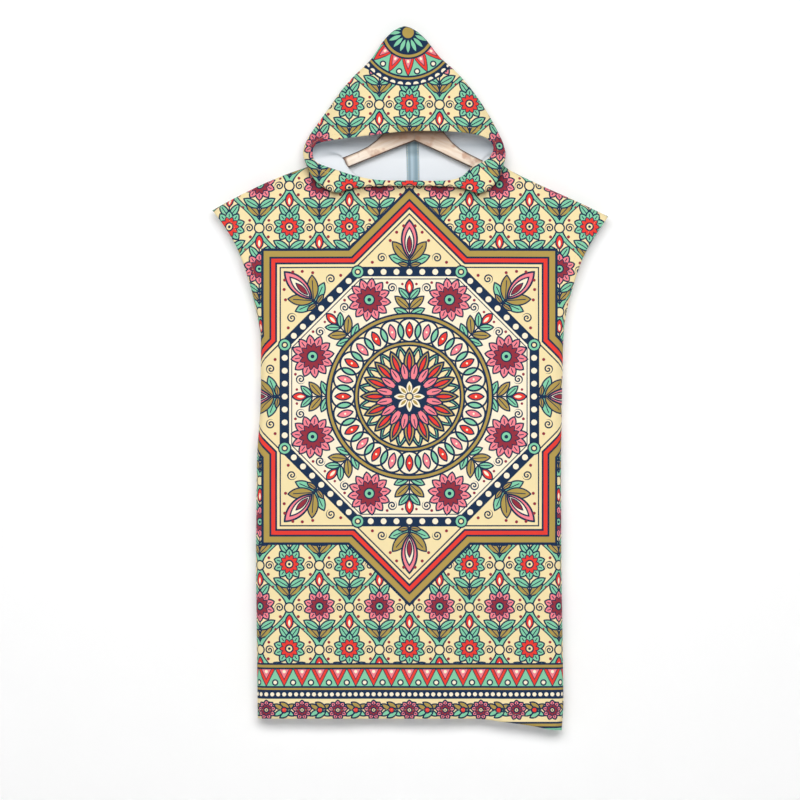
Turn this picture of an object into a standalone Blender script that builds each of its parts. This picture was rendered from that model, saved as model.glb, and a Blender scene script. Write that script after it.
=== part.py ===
"""A hooded beach-towel poncho hung on a wooden clothes hanger.

Metres, +Z up, the front of the garment faces -Y. The origin is the inner top of the hook, where a
rail carries it. Left and right are as seen from the front: left is -X.
"""

import math
from collections import namedtuple

import bmesh
import bpy
from mathutils import Matrix, Vector

MM = 0.001

# Driving sizes, in millimetres unless a name says otherwise.
CLOTH = 2.0  # thickness of the towelling
SEAM_GAP = 0.3  # between two pieces that are sewn together
HALF_GAP = SEAM_GAP / 2

ARM_THICK = 12.0  # the hanger's wood, front to back
ARM_ROUND = 3.5  # rounding of its long edges
HANGER_MID_X = 7.0
HANGER_APEX_Z = -95.5  # the V under the middle of the hanger
HANGER_TILT = math.radians(1.6)  # the right arm hangs a little lower
HOOK_X = 8.5  # the hook stands this far right of the garment's middle, from which the tables measure x
HOOK_WIRE = 3.8
HOOK_BEND = 19.0  # radius of the bend to the middle of the wire

RIDGE_DEPTH = 10.0  # half the garment's depth just below the shoulder seam
WAIST_DEPTH = 14.0
HEM_DEPTH = 16.5

NECK_MID_X = 5.0
NECK_MID_Z = -164.5

# The garment's outline, down its left and its right edge from the tip of the shoulder.
Side = namedtuple("Side", "z x")
LEFT_SIDE = [
    Side(-204.3, -309.5),
    Side(-230.5, -289.3),
    Side(-267.3, -268.4),
    Side(-302.6, -255.7),
    Side(-344.7, -244.5),
    Side(-376.0, -238.0),
    Side(-407.0, -233.5),
    Side(-501.0, -233.5),
    Side(-595.0, -240.0),
    Side(-752.0, -241.3),
    Side(-999.7, -238.5),
]
RIGHT_SIDE = [
    Side(-213.9, 310.3),
    Side(-244.5, 289.4),
    Side(-275.8, 271.8),
    Side(-307.1, 259.8),
    Side(-344.7, 249.5),
    Side(-376.0, 242.5),
    Side(-407.0, 240.0),
    Side(-501.0, 238.0),
    Side(-595.0, 236.6),
    Side(-752.0, 237.0),
    Side(-971.5, 240.5),
    Side(-1019.0, 237.5),
]

# The shoulder seams, from the tip of each shoulder to the neck.
Shoulder = namedtuple("Shoulder", "x z")
LEFT_SHOULDER = [
    Shoulder(-309.5, -204.3),
    Shoulder(-280.0, -187.5),
    Shoulder(-241.0, -168.0),
    Shoulder(-203.0, -150.8),
    Shoulder(-162.0, -136.8),
    Shoulder(-113.0, -121.0),
]
RIGHT_SHOULDER = [
    Shoulder(124.0, -122.0),
    Shoulder(133.0, -128.2),
    Shoulder(142.6, -134.6),
    Shoulder(180.0, -153.6),
    Shoulder(217.0, -170.8),
    Shoulder(254.0, -186.8),
    Shoulder(310.3, -213.9),
]

Hem = namedtuple("Hem", "x z")
HEM = [
    Hem(-240.0, -999.7),
    Hem(110.0, -999.7),
    Hem(141.0, -1003.6),
    Hem(188.0, -1009.4),
    Hem(219.0, -1015.5),
    Hem(238.0, -1019.0),
]

# How the wall of a panel turns away from a shoulder seam: the way along the cloth from the ridge, the share
# of its full depth that it has reached there, and its drop below the ridge.
Roll = namedtuple("Roll", "along share drop")
SHOULDER_ROLL = [
    Roll(0.0, 0.0, 0.0),
    Roll(2.0, 0.2, 0.0),
    Roll(5.6, 0.56, 1.0),
    Roll(9.6, 0.85, 3.8),
    Roll(15.5, 1.0, 9.5),
    Roll(24.0, 1.0, 18.0),
]

# The same turn beside a side seam: the share of the full depth, and the way in as a share of the full depth.
Edge = namedtuple("Edge", "share inset")
SIDE_ROLL = [
    Edge(0.0, 0.0),
    Edge(0.14, 0.0),
    Edge(0.55, 0.16),
    Edge(0.87, 0.48),
    Edge(1.0, 1.0),
]
OPEN_EDGE_STEP = 4.0  # spacing of those columns beside an open edge

# The neck edge, from the ridge of the shoulder to the middle: how far across it is, as a share of the half
# width, where it starts on the shoulder's roll, the depth of the wall, and its drop as a share of the whole.
Neck = namedtuple("Neck", "across start depth down")
NECK = [
    Neck(1.000, 0.0, 10.0, 0.00),
    Neck(0.986, 4.0, 10.0, 0.00),
    Neck(0.963, 8.0, 10.0, 0.00),
    Neck(0.940, 12.0, 10.3, 0.00),
    Neck(0.910, 15.5, 10.9, 0.12),
    Neck(0.830, 15.5, 11.8, 0.45),
    Neck(0.730, 15.5, 12.4, 0.72),
    Neck(0.580, 15.5, 13.0, 0.88),
    Neck(0.400, 15.5, 13.3, 0.95),
    Neck(0.200, 15.5, 13.5, 0.99),
    Neck(0.000, 15.5, 13.5, 1.00),
]

ARMPIT_Z = -340.0  # the armhole closes here into the side seam
ARMPIT_REACH = 45.0
SEAM_TOP_Z = -375.0
SEAM_TOP_OPEN = 1.2  # the side seam eases open by this much where it starts

BODY_ROWS = 22
ROW_CROWDING = 1.25  # above 1 crowds the rows towards the top
DEPTH_REACH = 200.0  # the cloth reaches its lower depth this far below its top edge
HEM_SHARE = 0.77  # the hem is this share of the width across the shoulders
SHOULDER_COLUMNS = 4

# Soft vertical folds: where each stands across the hem, how wide and how proud it is, and how high it climbs.
Fold = namedtuple("Fold", "x width proud climb")
FRONT_FOLDS = [
    Fold(-170, 38, 2.6, 420),
    Fold(-62, 46, -2.2, 560),
    Fold(48, 40, 2.4, 380),
    Fold(150, 34, -2.4, 300),
    Fold(205, 24, 3.0, 240),
]
BACK_FOLDS = [
    Fold(-196, 30, 2.4, 360),
    Fold(-96, 44, -2.4, 480),
    Fold(20, 50, 2.8, 600),
    Fold(118, 38, -2.2, 340),
    Fold(190, 30, 2.6, 300),
]

# The hood, at stations round the neck: turn is 0 at the middle of the front, 90 over the left shoulder and 180
# at the middle of the back. At each station the cloth runs from the neck edge to a fold and from there to the
# edge of the face opening. The columns give the fold and the face edge as seen from the front, then the depths
# (-y is forward) of the cloth before the fold, at it, after it and at the face edge, and the fold's half
# thickness.
Station = namedtuple("Station", "turn fold_x fold_z face_x face_z inner_y fold_y outer_y face_y roll")
HOOD = [
    Station(0, 3, -166.6, 4, -158.6, -18.0, -20.0, -23.5, -23.5, 3.2),
    Station(20, -56, -167.6, -50, -157.8, -18.0, -20.5, -24.5, -24.5, 3.6),
    Station(42, -91, -170.5, -91, -149.8, -17.5, -21.0, -26.5, -25.5, 4.2),
    Station(56, -118, -177.5, -118, -141.0, -17.0, -21.0, -27.5, -26.0, 4.6),
    Station(70, -147, -160.0, -142, -132.5, -16.5, -20.0, -26.5, -25.0, 4.6),
    Station(81, -160, -138.5, -151, -125.0, -15.0, -17.5, -24.0, -24.0, 4.6),
    Station(90, -166, -123.5, -153.8, -117.0, -4.0, -7.0, -20.0, -23.0, 4.6),
    Station(103, -167, -108.0, -151.5, -103.5, 13.0, 0.0, -18.0, -23.5, 4.6),
    Station(117, -159, -89.0, -139.0, -97.3, 20.0, 0.0, -19.0, -25.5, 4.6),
    Station(132, -132, -51.0, -110.0, -93.4, 24.0, 0.0, -22.0, -27.5, 4.6),
    Station(148, -98, -4.5, -70.0, -88.6, 26.0, 0.0, -23.0, -28.5, 4.6),
    Station(164, -57, 37.0, -33.0, -84.2, 25.0, 0.0, -22.0, -29.0, 4.6),
    Station(172, -35.5, 68.4, -14.5, -82.3, 23.5, 0.0, -21.0, -29.0, 4.6),
    Station(180, -8.4, 84.5, 4.0, -81.0, 22.0, 0.0, -20.0, -29.0, 4.6),
    Station(188, 19.5, 68.8, 22.0, -80.9, 23.5, 0.0, -21.0, -29.0, 4.6),
    Station(196, 42, 40.5, 40.0, -81.2, 25.0, 0.0, -22.0, -29.0, 4.6),
    Station(212, 80, 5.0, 74.0, -82.6, 26.0, 0.0, -23.0, -28.5, 4.6),
    Station(228, 115, -41.0, 104.0, -86.6, 24.0, 0.0, -22.0, -27.5, 4.6),
    Station(243, 139, -84.0, 121.0, -91.8, 20.0, 0.0, -19.0, -25.5, 4.6),
    Station(257, 148.6, -107.0, 130.5, -101.0, 13.0, 0.0, -18.0, -23.5, 4.6),
    Station(270, 149, -124.0, 130.5, -113.0, -4.0, -7.0, -20.0, -23.0, 4.6),
    Station(279, 144, -140.0, 122.0, -124.6, -15.0, -17.5, -24.0, -24.0, 4.6),
    Station(290, 137, -158.5, 112.0, -130.4, -16.5, -20.0, -26.5, -25.0, 4.6),
    Station(304, 112, -178.5, 96.0, -138.4, -17.0, -21.0, -27.5, -26.0, 4.6),
    Station(318, 84, -171.0, 80.0, -152.8, -17.5, -21.0, -26.5, -25.5, 4.2),
    Station(340, 55, -167.6, 52.0, -159.0, -18.0, -20.5, -24.5, -24.5, 3.6),
]

# Rows of the hood along its cloth: neck to fold, round the fold, and fold to face edge.
HOOD_ROWS_IN = 9
HOOD_ROLL_ROWS = 4
HOOD_ROWS_OUT = 6
HOOD_EXTRA_TURNS = [94.5, 175.5]  # more columns at the corners of the face opening and at the peak
NECK_RISE = 5.0  # how far the hood stands up from the neck seam before it turns outward
NECK_REACH = 0.35  # the same at the back, as a share of the way to the fold
NECK_LEAN = 0.3  # how much of the depth it takes up in that rise
CORNER_EASE = 1.4  # the hood stands in by this much where it turns over the shoulder seams
FOLD_PULL = 0.35  # how much of the way to a fold runs square to it
FOLD_PULL_LEAST = 2.5
LEAVE_DEPTH = 0.8  # how much of its depth the cloth has taken up soon after the fold
FACE_PULL = 0.68  # how far towards the face edge it keeps that depth

# Half the hanger, out from its middle: the height of its top and underside over the apex.
Arm = namedtuple("Arm", "out top under")
ARM = [
    Arm(0.0, 37.5, 0.0),
    Arm(22.0, 35.5, -9.2),
    Arm(40.0, 22.0, -16.8),
    Arm(50.0, 10.0, -21.4),
    Arm(60.0, -1.0, -26.0),
    Arm(72.0, -10.5, -31.1),
    Arm(88.0, -18.9, -38.2),
    Arm(105.0, -26.5, -45.7),
    Arm(120.0, -32.5, -51.0),
    Arm(150.0, -47.0, -62.0),
    Arm(200.0, -69.8, -79.5),
]
ARM_TIP = 209.0  # how far out the rounded end reaches
ARM_TIP_SIZE = 0.35  # the size of the last section, as a share of the one where the rounding starts
ARM_TIP_TURN = 80.0  # degrees of a quarter turn that the rounding runs through
ARM_TIP_STEPS = 3
ARM_CORNER_STEPS = 3
ARM_SHARP = math.radians(40)  # edges steeper than this stay crisp

HOOK_SEAT = 0.4  # the foot of the wire stands clear of the wood by this much
HOOK_SHANK_Z = -46.0  # the straight shank ends here
HOOK_START = -35.0  # degrees round the bend, from its right side
HOOK_STOP = 200.0
HOOK_ARC_STEPS = 16
HOOK_EASE_STEPS = 4
WIRE_ROUNDNESS = 2

STRIP_HALF = 10.0  # half the width of the strip over the hood's seam
STRIP_THICK = 1.0
STRIP_LIFT = 0.4  # the strip stands off the hood's inside by this much

# Colour, roughness and metallic of each material.
Finish = namedtuple("Finish", "colour roughness metallic")
FINISHES = {
    "printed_towel": Finish((0.92, 0.76, 0.47), 0.90, 0.0),
    "seam_strip": Finish((0.62, 0.70, 0.76), 0.85, 0.0),
    "wood": Finish((0.80, 0.62, 0.49), 0.50, 0.0),
    "steel": Finish((0.62, 0.62, 0.63), 0.25, 1.0),
}


def between(rows, key, value, field):
    """The field of a table at this key value, along straight lines between its rows."""
    for low, high in zip(rows, rows[1:]):
        a = getattr(low, key)
        b = getattr(high, key)
        if min(a, b) <= value <= max(a, b):
            return mix(getattr(low, field), getattr(high, field), (value - a) / (b - a))
    nearest = min(rows, key=lambda row: abs(getattr(row, key) - value))
    return getattr(nearest, field)


def around(rows, key, value, field, period):
    """The field of a table that closes on itself, along a smooth curve through its rows."""
    low = max(i for i in range(len(rows)) if getattr(rows[i], key) <= value)

    def row(i):
        turns, at = divmod(i, len(rows))
        return getattr(rows[at], key) + turns * period, getattr(rows[at], field)

    (k0, v0), (k1, v1), (k2, v2), (k3, v3) = (row(low + i) for i in (-1, 0, 1, 2))
    share = (value - k1) / (k2 - k1)
    slope1 = (v2 - v0) / (k2 - k0) * (k2 - k1)
    slope2 = (v3 - v1) / (k3 - k1) * (k2 - k1)
    a = 2 * v1 - 2 * v2 + slope1 + slope2
    b = 3 * v2 - 3 * v1 - 2 * slope1 - slope2
    return ((a * share + b) * share + slope1) * share + v1


def mix(a, b, share):
    return a * (1 - share) + b * share


def smooth(value):
    value = min(1.0, max(0.0, value))
    return value * value * (3 - 2 * value)


def bezier(points, share):
    rest = 1 - share
    weights = (rest**3, 3 * rest**2 * share, 3 * rest * share**2, share**3)
    return sum((p * w for p, w in zip(points, weights)), Vector())


# The body panels


def roll_at(along):
    """The share of the full depth and the drop, this far along a panel's wall from the shoulder's ridge."""
    share = between(SHOULDER_ROLL, "along", along, "share")
    drop = between(SHOULDER_ROLL, "along", along, "drop")
    return share, drop


def neck_point(row, right):
    """A point of the neck edge on the front, for a row of NECK, on the left or the right half."""
    ridge = RIGHT_SHOULDER[0] if right else LEFT_SHOULDER[-1]
    at = NECK[row]
    share, drop = roll_at(at.start)
    x = mix(NECK_MID_X, ridge.x, at.across)
    z = mix(ridge.z - drop, NECK_MID_Z, at.down)
    return Vector((x, -at.depth * share, z))


# A column of a panel at its top edge: its place, its depth, and where it starts on the shoulder's roll.
Top = namedtuple("Top", "x z depth start")


def shoulder_tops(places, table):
    return [Top(x, between(table, "x", x, "z"), RIDGE_DEPTH, 0.0) for x in places]


def spread(start, stop, count):
    """Evenly spaced values between two others, both left out."""
    return [mix(start, stop, i / (count + 1)) for i in range(1, count + 1)]


def panel_tops():
    band = [OPEN_EDGE_STEP * i for i in range(len(SIDE_ROLL))]
    left = [LEFT_SHOULDER[0].x + step for step in band]
    right = [RIGHT_SHOULDER[-1].x - step for step in reversed(band)]
    left += spread(left[-1], LEFT_SHOULDER[-1].x, SHOULDER_COLUMNS)
    right = spread(RIGHT_SHOULDER[0].x, right[0], SHOULDER_COLUMNS) + right
    neck = []
    ridge = len(NECK) - 1
    for i in range(-ridge, ridge + 1):
        row = ridge - abs(i)
        at = neck_point(row, i > 0)
        neck.append(Top(at.x, at.z, NECK[row].depth, NECK[row].start))
    return shoulder_tops(left, LEFT_SHOULDER) + neck + shoulder_tops(right, RIGHT_SHOULDER)


def fold_height(folds, x, z):
    """How far the soft folds push the cloth out at this point of a panel."""
    total = 0.0
    for fold in folds:
        climbed = (z - HEM[0].z) / fold.climb
        total += fold.proud * math.exp(-(((x - fold.x) / fold.width) ** 2)) * smooth(1 - climbed)
    return total


def panel_depth(top, folds, x, z):
    """How far the cloth stands from the plane of the side seams."""
    lower = mix(WAIST_DEPTH, HEM_DEPTH, smooth((ARMPIT_Z - z) / (ARMPIT_Z - HEM[0].z)))
    lower += fold_height(folds, x, z)
    return mix(top.depth, lower, smooth((top.z - z) / DEPTH_REACH))


def row_level(top, along, fall):
    """The share of the full depth, and the height, that a row of a panel has at a column."""
    whole = SHOULDER_ROLL[-1].along
    share, drop = roll_at(mix(top.start, whole, along / whole))
    start = top.z - drop + roll_at(top.start)[1]
    return share, mix(start, between(HEM, "x", top.x * HEM_SHARE, "z"), fall)


def panel_row(tops, along, fall, folds, facing):
    """One row of a panel's outer points, from its left edge to its right."""
    last = len(tops) - 1
    band = len(SIDE_ROLL) - 1
    inner_left = tops[band].x
    inner_width = tops[last - band].x - inner_left
    left_edge_z = row_level(tops[0], along, fall)[1]
    right_edge_z = row_level(tops[last], along, fall)[1]
    row = []
    for c, top in enumerate(tops):
        share, z = row_level(top, along, fall)
        edge = min(c, last - c)
        in_band = edge <= band
        left_z = z if in_band else left_edge_z
        right_z = z if in_band else right_edge_z
        left = between(LEFT_SIDE, "z", left_z, "x")
        right = between(RIGHT_SIDE, "z", right_z, "x")
        depth = panel_depth(top, folds, top.x, z)
        opened = smooth((left_z - ARMPIT_Z) / ARMPIT_REACH)
        side = SIDE_ROLL[min(edge, band)]
        step = mix(depth * side.inset, OPEN_EDGE_STEP * min(edge, band), opened)
        if in_band:
            x = left + step if c < last / 2 else right - step
        else:
            x = mix(left + step, right - step, (top.x - inner_left) / inner_width)
        eased = smooth((left_z - SEAM_TOP_Z) / (ARMPIT_Z - SEAM_TOP_Z)) * (1 - opened)
        gap = HALF_GAP + SEAM_TOP_OPEN * eased
        y = gap + (depth - gap) * share * mix(side.share, 1.0, opened)
        row.append(Vector((x, facing * y, z)))
    return row


def panel_grid(folds, facing):
    """The outer points of a panel, row by row from the top. facing is -1 for the front, 1 for the back."""
    tops = panel_tops()
    whole = SHOULDER_ROLL[-1].along
    grid = [panel_row(tops, roll.along, 0.0, folds, facing) for roll in SHOULDER_ROLL]
    for r in range(1, BODY_ROWS + 1):
        grid.append(panel_row(tops, whole, (r / BODY_ROWS) ** ROW_CROWDING, folds, facing))
    return grid


# The hood


def neck_corner(i):
    """Point i of the neck edge, counted from the middle of the front by the left shoulder and the back."""
    quarter = len(NECK) - 1
    i %= 4 * quarter
    past = i % (2 * quarter)
    point = neck_point(abs(quarter - past), i > 2 * quarter)
    if quarter < i < 3 * quarter:
        point.y = -point.y
    return point


def neck_at(turn):
    """The neck edge at this angle round the neck, along straight lines between the panels' columns."""
    position = turn / 90 * (len(NECK) - 1)
    low = math.floor(position)
    return neck_corner(low).lerp(neck_corner(low + 1), position - low)


def flat(v):
    return Vector((v.x, 0, v.z))


def hood_path(turn):
    """The outer points of the hood's cloth at this angle, from the neck over the fold to the face opening."""
    at = Station(turn, *(around(HOOD, "turn", turn, field, 360) for field in Station._fields[1:]))
    start = neck_at(turn) + Vector((0, 0, SEAM_GAP))
    start.x += math.copysign(CORNER_EASE * abs(math.sin(math.radians(turn))) ** 3, NECK_MID_X - start.x)
    fold = Vector((at.fold_x, at.fold_y, at.fold_z))
    face = Vector((at.face_x, at.face_y, at.face_z))
    outward = (flat(fold - start).normalized() + flat(fold - face).normalized()).normalized()
    centre = fold - outward * at.roll
    before = centre + Vector((0, at.roll, 0))
    after = centre - Vector((0, at.roll, 0))

    reach = flat(before - start).length
    rise = max(NECK_RISE, reach * NECK_REACH * -math.cos(math.radians(turn)))
    lead = start + Vector((0, (at.inner_y - start.y) * NECK_LEAN, rise))
    arrive = before - outward * max(FOLD_PULL_LEAST, reach * FOLD_PULL)
    arrive.y = at.inner_y
    path = [bezier([start, lead, arrive, before], i / HOOD_ROWS_IN) for i in range(HOOD_ROWS_IN + 1)]

    for i in range(1, HOOD_ROLL_ROWS):
        angle = math.pi * i / HOOD_ROLL_ROWS
        path.append(centre + (outward * math.sin(angle) + Vector((0, math.cos(angle), 0))) * at.roll)

    leave = after - outward * flat(face - after).length * FOLD_PULL
    leave.y = mix(after.y, at.outer_y, LEAVE_DEPTH)
    end = after.lerp(face, FACE_PULL)
    end.y = at.outer_y
    path += [bezier([after, leave, end, face], i / HOOD_ROWS_OUT) for i in range(HOOD_ROWS_OUT + 1)]
    return path


def hood_turns():
    step = 90 / (len(NECK) - 1)
    turns = {i * step for i in range(4 * (len(NECK) - 1))}
    for turn in HOOD_EXTRA_TURNS:
        turns |= {turn, 360 - turn}
    return sorted(turns)


# The hanger


def arm_section(out, sign):
    """The rounded rectangle that the hanger's wood shows, cut across at this distance from its middle."""
    top = between(ARM, "out", out, "top")
    under = between(ARM, "out", out, "under")
    return rounded_section(out, sign, top, under, ARM_THICK / 2, ARM_ROUND)


def rounded_section(out, sign, top, under, half, radius):
    """A rounded rectangle across the hanger, half deep each way from its middle plane."""
    points = []
    corners = [(half, top, 0), (-half, top, 90), (-half, under, 180), (half, under, 270)]
    for y, z, start in corners:
        y -= math.copysign(radius, y)
        z += radius if z == under else -radius
        for i in range(ARM_CORNER_STEPS + 1):
            angle = math.radians(start + 90 * i / ARM_CORNER_STEPS)
            points.append(Vector((sign * out, y + radius * math.cos(angle), z + radius * math.sin(angle))))
    return points


def arm_rings(sign):
    """The sections of half the hanger, from its middle to its rounded end."""
    outs = [HALF_GAP] + [row.out for row in ARM[1:]]
    rings = [arm_section(out, sign) for out in outs]
    before, last = ARM[-2:]
    slope = (last.top - before.top) / (last.out - before.out)
    for i in range(1, ARM_TIP_STEPS + 1):
        angle = math.radians(ARM_TIP_TURN * i / ARM_TIP_STEPS)
        out = last.out + (ARM_TIP - last.out) * math.sin(angle)
        size = mix(ARM_TIP_SIZE, 1, math.cos(angle))
        middle = (last.top + last.under) / 2 + slope * (out - last.out)
        half_height = (last.top - last.under) / 2 * size
        top = middle + half_height
        under = middle - half_height
        rings.append(rounded_section(out, sign, top, under, ARM_THICK / 2 * size, ARM_ROUND * size))
    tilt = Matrix.Rotation(HANGER_TILT, 3, "Y")
    apex = Vector((HANGER_MID_X, 0, HANGER_APEX_Z))
    return [[apex + tilt @ p for p in ring] for ring in rings]


def hook_points():
    """The middle of the hook's wire: a straight shank, an easy bend to the right, and an arc over the top."""
    foot = HANGER_APEX_Z + ARM[0].top * math.cos(HANGER_TILT) + HOOK_SEAT
    top = HOOK_WIRE / 2
    centre = Vector((HOOK_X, 0, top - HOOK_BEND))
    start = math.radians(HOOK_START)
    stop = math.radians(HOOK_STOP)
    bend = Vector((HOOK_X, 0, HOOK_SHANK_Z))
    arc = [mix(start, stop, i / HOOK_ARC_STEPS) for i in range(HOOK_ARC_STEPS + 1)]
    arc = [centre + Vector((math.cos(a), 0, math.sin(a))) * HOOK_BEND for a in arc]
    along = Vector((-math.sin(start), 0, math.cos(start)))
    pull = (arc[0] - bend).length / 3
    ease = [bend, bend + Vector((0, 0, pull)), arc[0] - along * pull, arc[0]]
    eased = [bezier(ease, i / HOOK_EASE_STEPS) for i in range(HOOK_EASE_STEPS)]
    return [Vector((HOOK_X, 0, foot))] + eased + arc


# Making the objects


def place(point):
    """From millimetres about the garment's middle to metres about the hook."""
    return Vector((point.x - HOOK_X, point.y, point.z)) * MM


def material(name):
    finish = FINISHES[name]
    made = bpy.data.materials.new(name)
    made.use_nodes = True
    shader = made.node_tree.nodes["Principled BSDF"]
    shader.inputs["Base Color"].default_value = (*finish.colour, 1.0)
    shader.inputs["Roughness"].default_value = finish.roughness
    shader.inputs["Metallic"].default_value = finish.metallic
    return made


def add_object(name, data, finish, collection):
    made = bpy.data.objects.new(name, data)
    data.materials.append(finish)
    collection.objects.link(made)
    return made


def grid_mesh(name, grid, closed=False, flipped=False):
    """A sheet of four-sided faces through rows of points. closed joins each row's ends."""
    build = bmesh.new()
    rows = [[build.verts.new(place(p)) for p in row] for row in grid]
    for upper, lower in zip(rows, rows[1:]):
        count = len(upper) if closed else len(upper) - 1
        for i in range(count):
            j = (i + 1) % len(upper)
            corners = [upper[i], lower[i], lower[j], upper[j]]
            build.faces.new(corners[::-1] if flipped else corners)
    mesh = bpy.data.meshes.new(name)
    build.to_mesh(mesh)
    build.free()
    mesh.shade_smooth()
    return mesh


def cloth(name, mesh, thickness, finish, collection):
    """A sheet with its thickness inside it."""
    made = add_object(name, mesh, finish, collection)
    wall = made.modifiers.new("wall", "SOLIDIFY")
    wall.thickness = thickness * MM
    wall.offset = -1
    return made


def body_panels(collection, finish):
    front = panel_grid(FRONT_FOLDS, -1)
    back = panel_grid(BACK_FOLDS, 1)
    cloth("front_panel", grid_mesh("front_panel", front), CLOTH, finish, collection)
    cloth("back_panel", grid_mesh("back_panel", back, flipped=True), CLOTH, finish, collection)


def strip_points(rows, middle):
    """The outer points of the strip inside the hood, moved in from the hood's own beside its back seam."""
    strip = []
    for r in range(HOOD_ROWS_IN - 1):
        at = rows[r][middle]
        sides = []
        for neighbour in (rows[r][middle - 1], rows[r][middle + 1]):
            sides.append(at + (neighbour - at).normalized() * STRIP_HALF)
        along = rows[r + 1][middle] - rows[max(0, r - 1)][middle]
        inward = along.cross(sides[1] - sides[0]).normalized()
        if inward.y > 0:
            inward.negate()
        offset = inward * (CLOTH + STRIP_LIFT)
        strip.append([p + offset for p in (sides[0], at, sides[1])])
    return strip


def hood_and_strip(collection, towel, strip_finish):
    turns = hood_turns()
    rows = list(zip(*(hood_path(turn) for turn in turns)))
    cloth("hood", grid_mesh("hood", rows, closed=True), CLOTH, towel, collection)
    strip = grid_mesh("hood_seam_strip", strip_points(rows, turns.index(180)))
    cloth("hood_seam_strip", strip, STRIP_THICK, strip_finish, collection)


def hanger_arm(name, sign, collection, finish):
    rings = arm_rings(sign)
    build = bmesh.new()
    loops = [[build.verts.new(place(p)) for p in ring] for ring in rings]
    for inner, outer in zip(loops, loops[1:]):
        for i, vertex in enumerate(inner):
            j = (i + 1) % len(inner)
            build.faces.new([vertex, inner[j], outer[j], outer[i]])
    build.faces.new(loops[0])
    build.faces.new(loops[-1])
    bmesh.ops.recalc_face_normals(build, faces=build.faces[:])
    mesh = bpy.data.meshes.new(name)
    build.to_mesh(mesh)
    build.free()
    mesh.shade_smooth()
    mesh.set_sharp_from_angle(angle=ARM_SHARP)
    add_object(name, mesh, finish, collection)


def hanger_hook(collection, finish):
    curve = bpy.data.curves.new("hanger_hook", "CURVE")
    curve.dimensions = "3D"
    curve.bevel_depth = HOOK_WIRE / 2 * MM
    curve.bevel_resolution = WIRE_ROUNDNESS
    curve.use_fill_caps = True
    points = hook_points()
    spline = curve.splines.new("POLY")
    spline.points.add(len(points) - 1)
    for slot, point in zip(spline.points, points):
        slot.co = (*place(point), 1.0)
    add_object("hanger_hook", curve, finish, collection)


def main():
    for old in list(bpy.data.objects):
        bpy.data.objects.remove(old, do_unlink=True)
    collection = bpy.data.collections.new("towel_poncho_on_hanger")
    bpy.context.scene.collection.children.link(collection)
    finishes = {name: material(name) for name in FINISHES}
    body_panels(collection, finishes["printed_towel"])
    hood_and_strip(collection, finishes["printed_towel"], finishes["seam_strip"])
    hanger_arm("hanger_arm_left", -1, collection, finishes["wood"])
    hanger_arm("hanger_arm_right", 1, collection, finishes["wood"])
    hanger_hook(collection, finishes["steel"])


main()
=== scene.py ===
# %% [markdown]
# # A hooded towel poncho on a wooden hanger
#
# The real thing is a beach towel made up as a garment: a front, a back and a hood, printed outside and
# white inside, on a wooden clothes hanger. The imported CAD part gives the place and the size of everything.
# This notebook dresses it with thin shells of towelling, a seam strip, stitches, wood and steel, and then
# builds a small studio. Lengths in the tables are millimetres, because a maker measures cloth in
# millimetres.

import math
from collections import namedtuple

import bpy
import numpy as np
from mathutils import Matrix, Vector


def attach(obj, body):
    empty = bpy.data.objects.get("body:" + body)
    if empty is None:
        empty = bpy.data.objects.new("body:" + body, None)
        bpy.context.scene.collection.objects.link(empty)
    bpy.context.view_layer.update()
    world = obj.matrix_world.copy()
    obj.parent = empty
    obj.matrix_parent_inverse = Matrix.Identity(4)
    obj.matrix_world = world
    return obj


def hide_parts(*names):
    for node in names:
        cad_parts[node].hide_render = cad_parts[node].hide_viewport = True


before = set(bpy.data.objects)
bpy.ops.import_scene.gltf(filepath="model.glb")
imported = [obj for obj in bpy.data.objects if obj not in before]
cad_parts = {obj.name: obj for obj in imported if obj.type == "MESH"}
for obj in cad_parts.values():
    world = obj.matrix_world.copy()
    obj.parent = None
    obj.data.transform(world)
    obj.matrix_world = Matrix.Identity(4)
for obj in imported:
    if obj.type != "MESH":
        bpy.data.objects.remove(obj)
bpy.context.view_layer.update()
print("nodes:", ", ".join(sorted(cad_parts)))

# %% [markdown]
# ## Sizes of the body
#
# A poncho's body is two flat pieces of cloth that hang as a shallow bag, thin at the shoulders and deeper
# at the hem. It could be sculpted, or draped by a cloth simulation. Here its outline is written down in
# tables instead, because the garment hangs still and flat, and each shell has to lie exactly on its CAD
# solid, which was built from the same tables. `x` is measured from the garment's middle and `z` from the
# inner top of the hook. The front faces -y.

# %% Sizes that hold everywhere
MM = 0.001
CLOTH = 2.0  # the towelling's thickness
HALF_GAP = 0.15  # half the gap between two pieces that are sewn together
HOOK_X = 8.5  # the hook, at the frame's origin, is this far right of the garment's middle


def rows_of(kind, *rows):
    """Plain rows of numbers as rows whose numbers have names."""
    return [kind(*row) for row in rows]


print("cloth:", CLOTH, "mm thick")

# %% The sides, from the shoulder's tip down to the hem
Side = namedtuple("Side", "z x")
LEFT_SIDE = rows_of(
    Side,
    (-204.3, -309.5), (-230.5, -289.3), (-267.3, -268.4), (-302.6, -255.7), (-344.7, -244.5),
    (-376.0, -238.0), (-407.0, -233.5), (-501.0, -233.5), (-595.0, -240.0), (-752.0, -241.3),
    (-999.7, -238.5),
)
RIGHT_SIDE = rows_of(
    Side,
    (-213.9, 310.3), (-244.5, 289.4), (-275.8, 271.8), (-307.1, 259.8), (-344.7, 249.5),
    (-376.0, 242.5), (-407.0, 240.0), (-501.0, 238.0), (-595.0, 236.6), (-752.0, 237.0),
    (-971.5, 240.5), (-1019.0, 237.5),
)
print("body at the hem:", RIGHT_SIDE[-1].x - LEFT_SIDE[-1].x, "mm wide")

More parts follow.
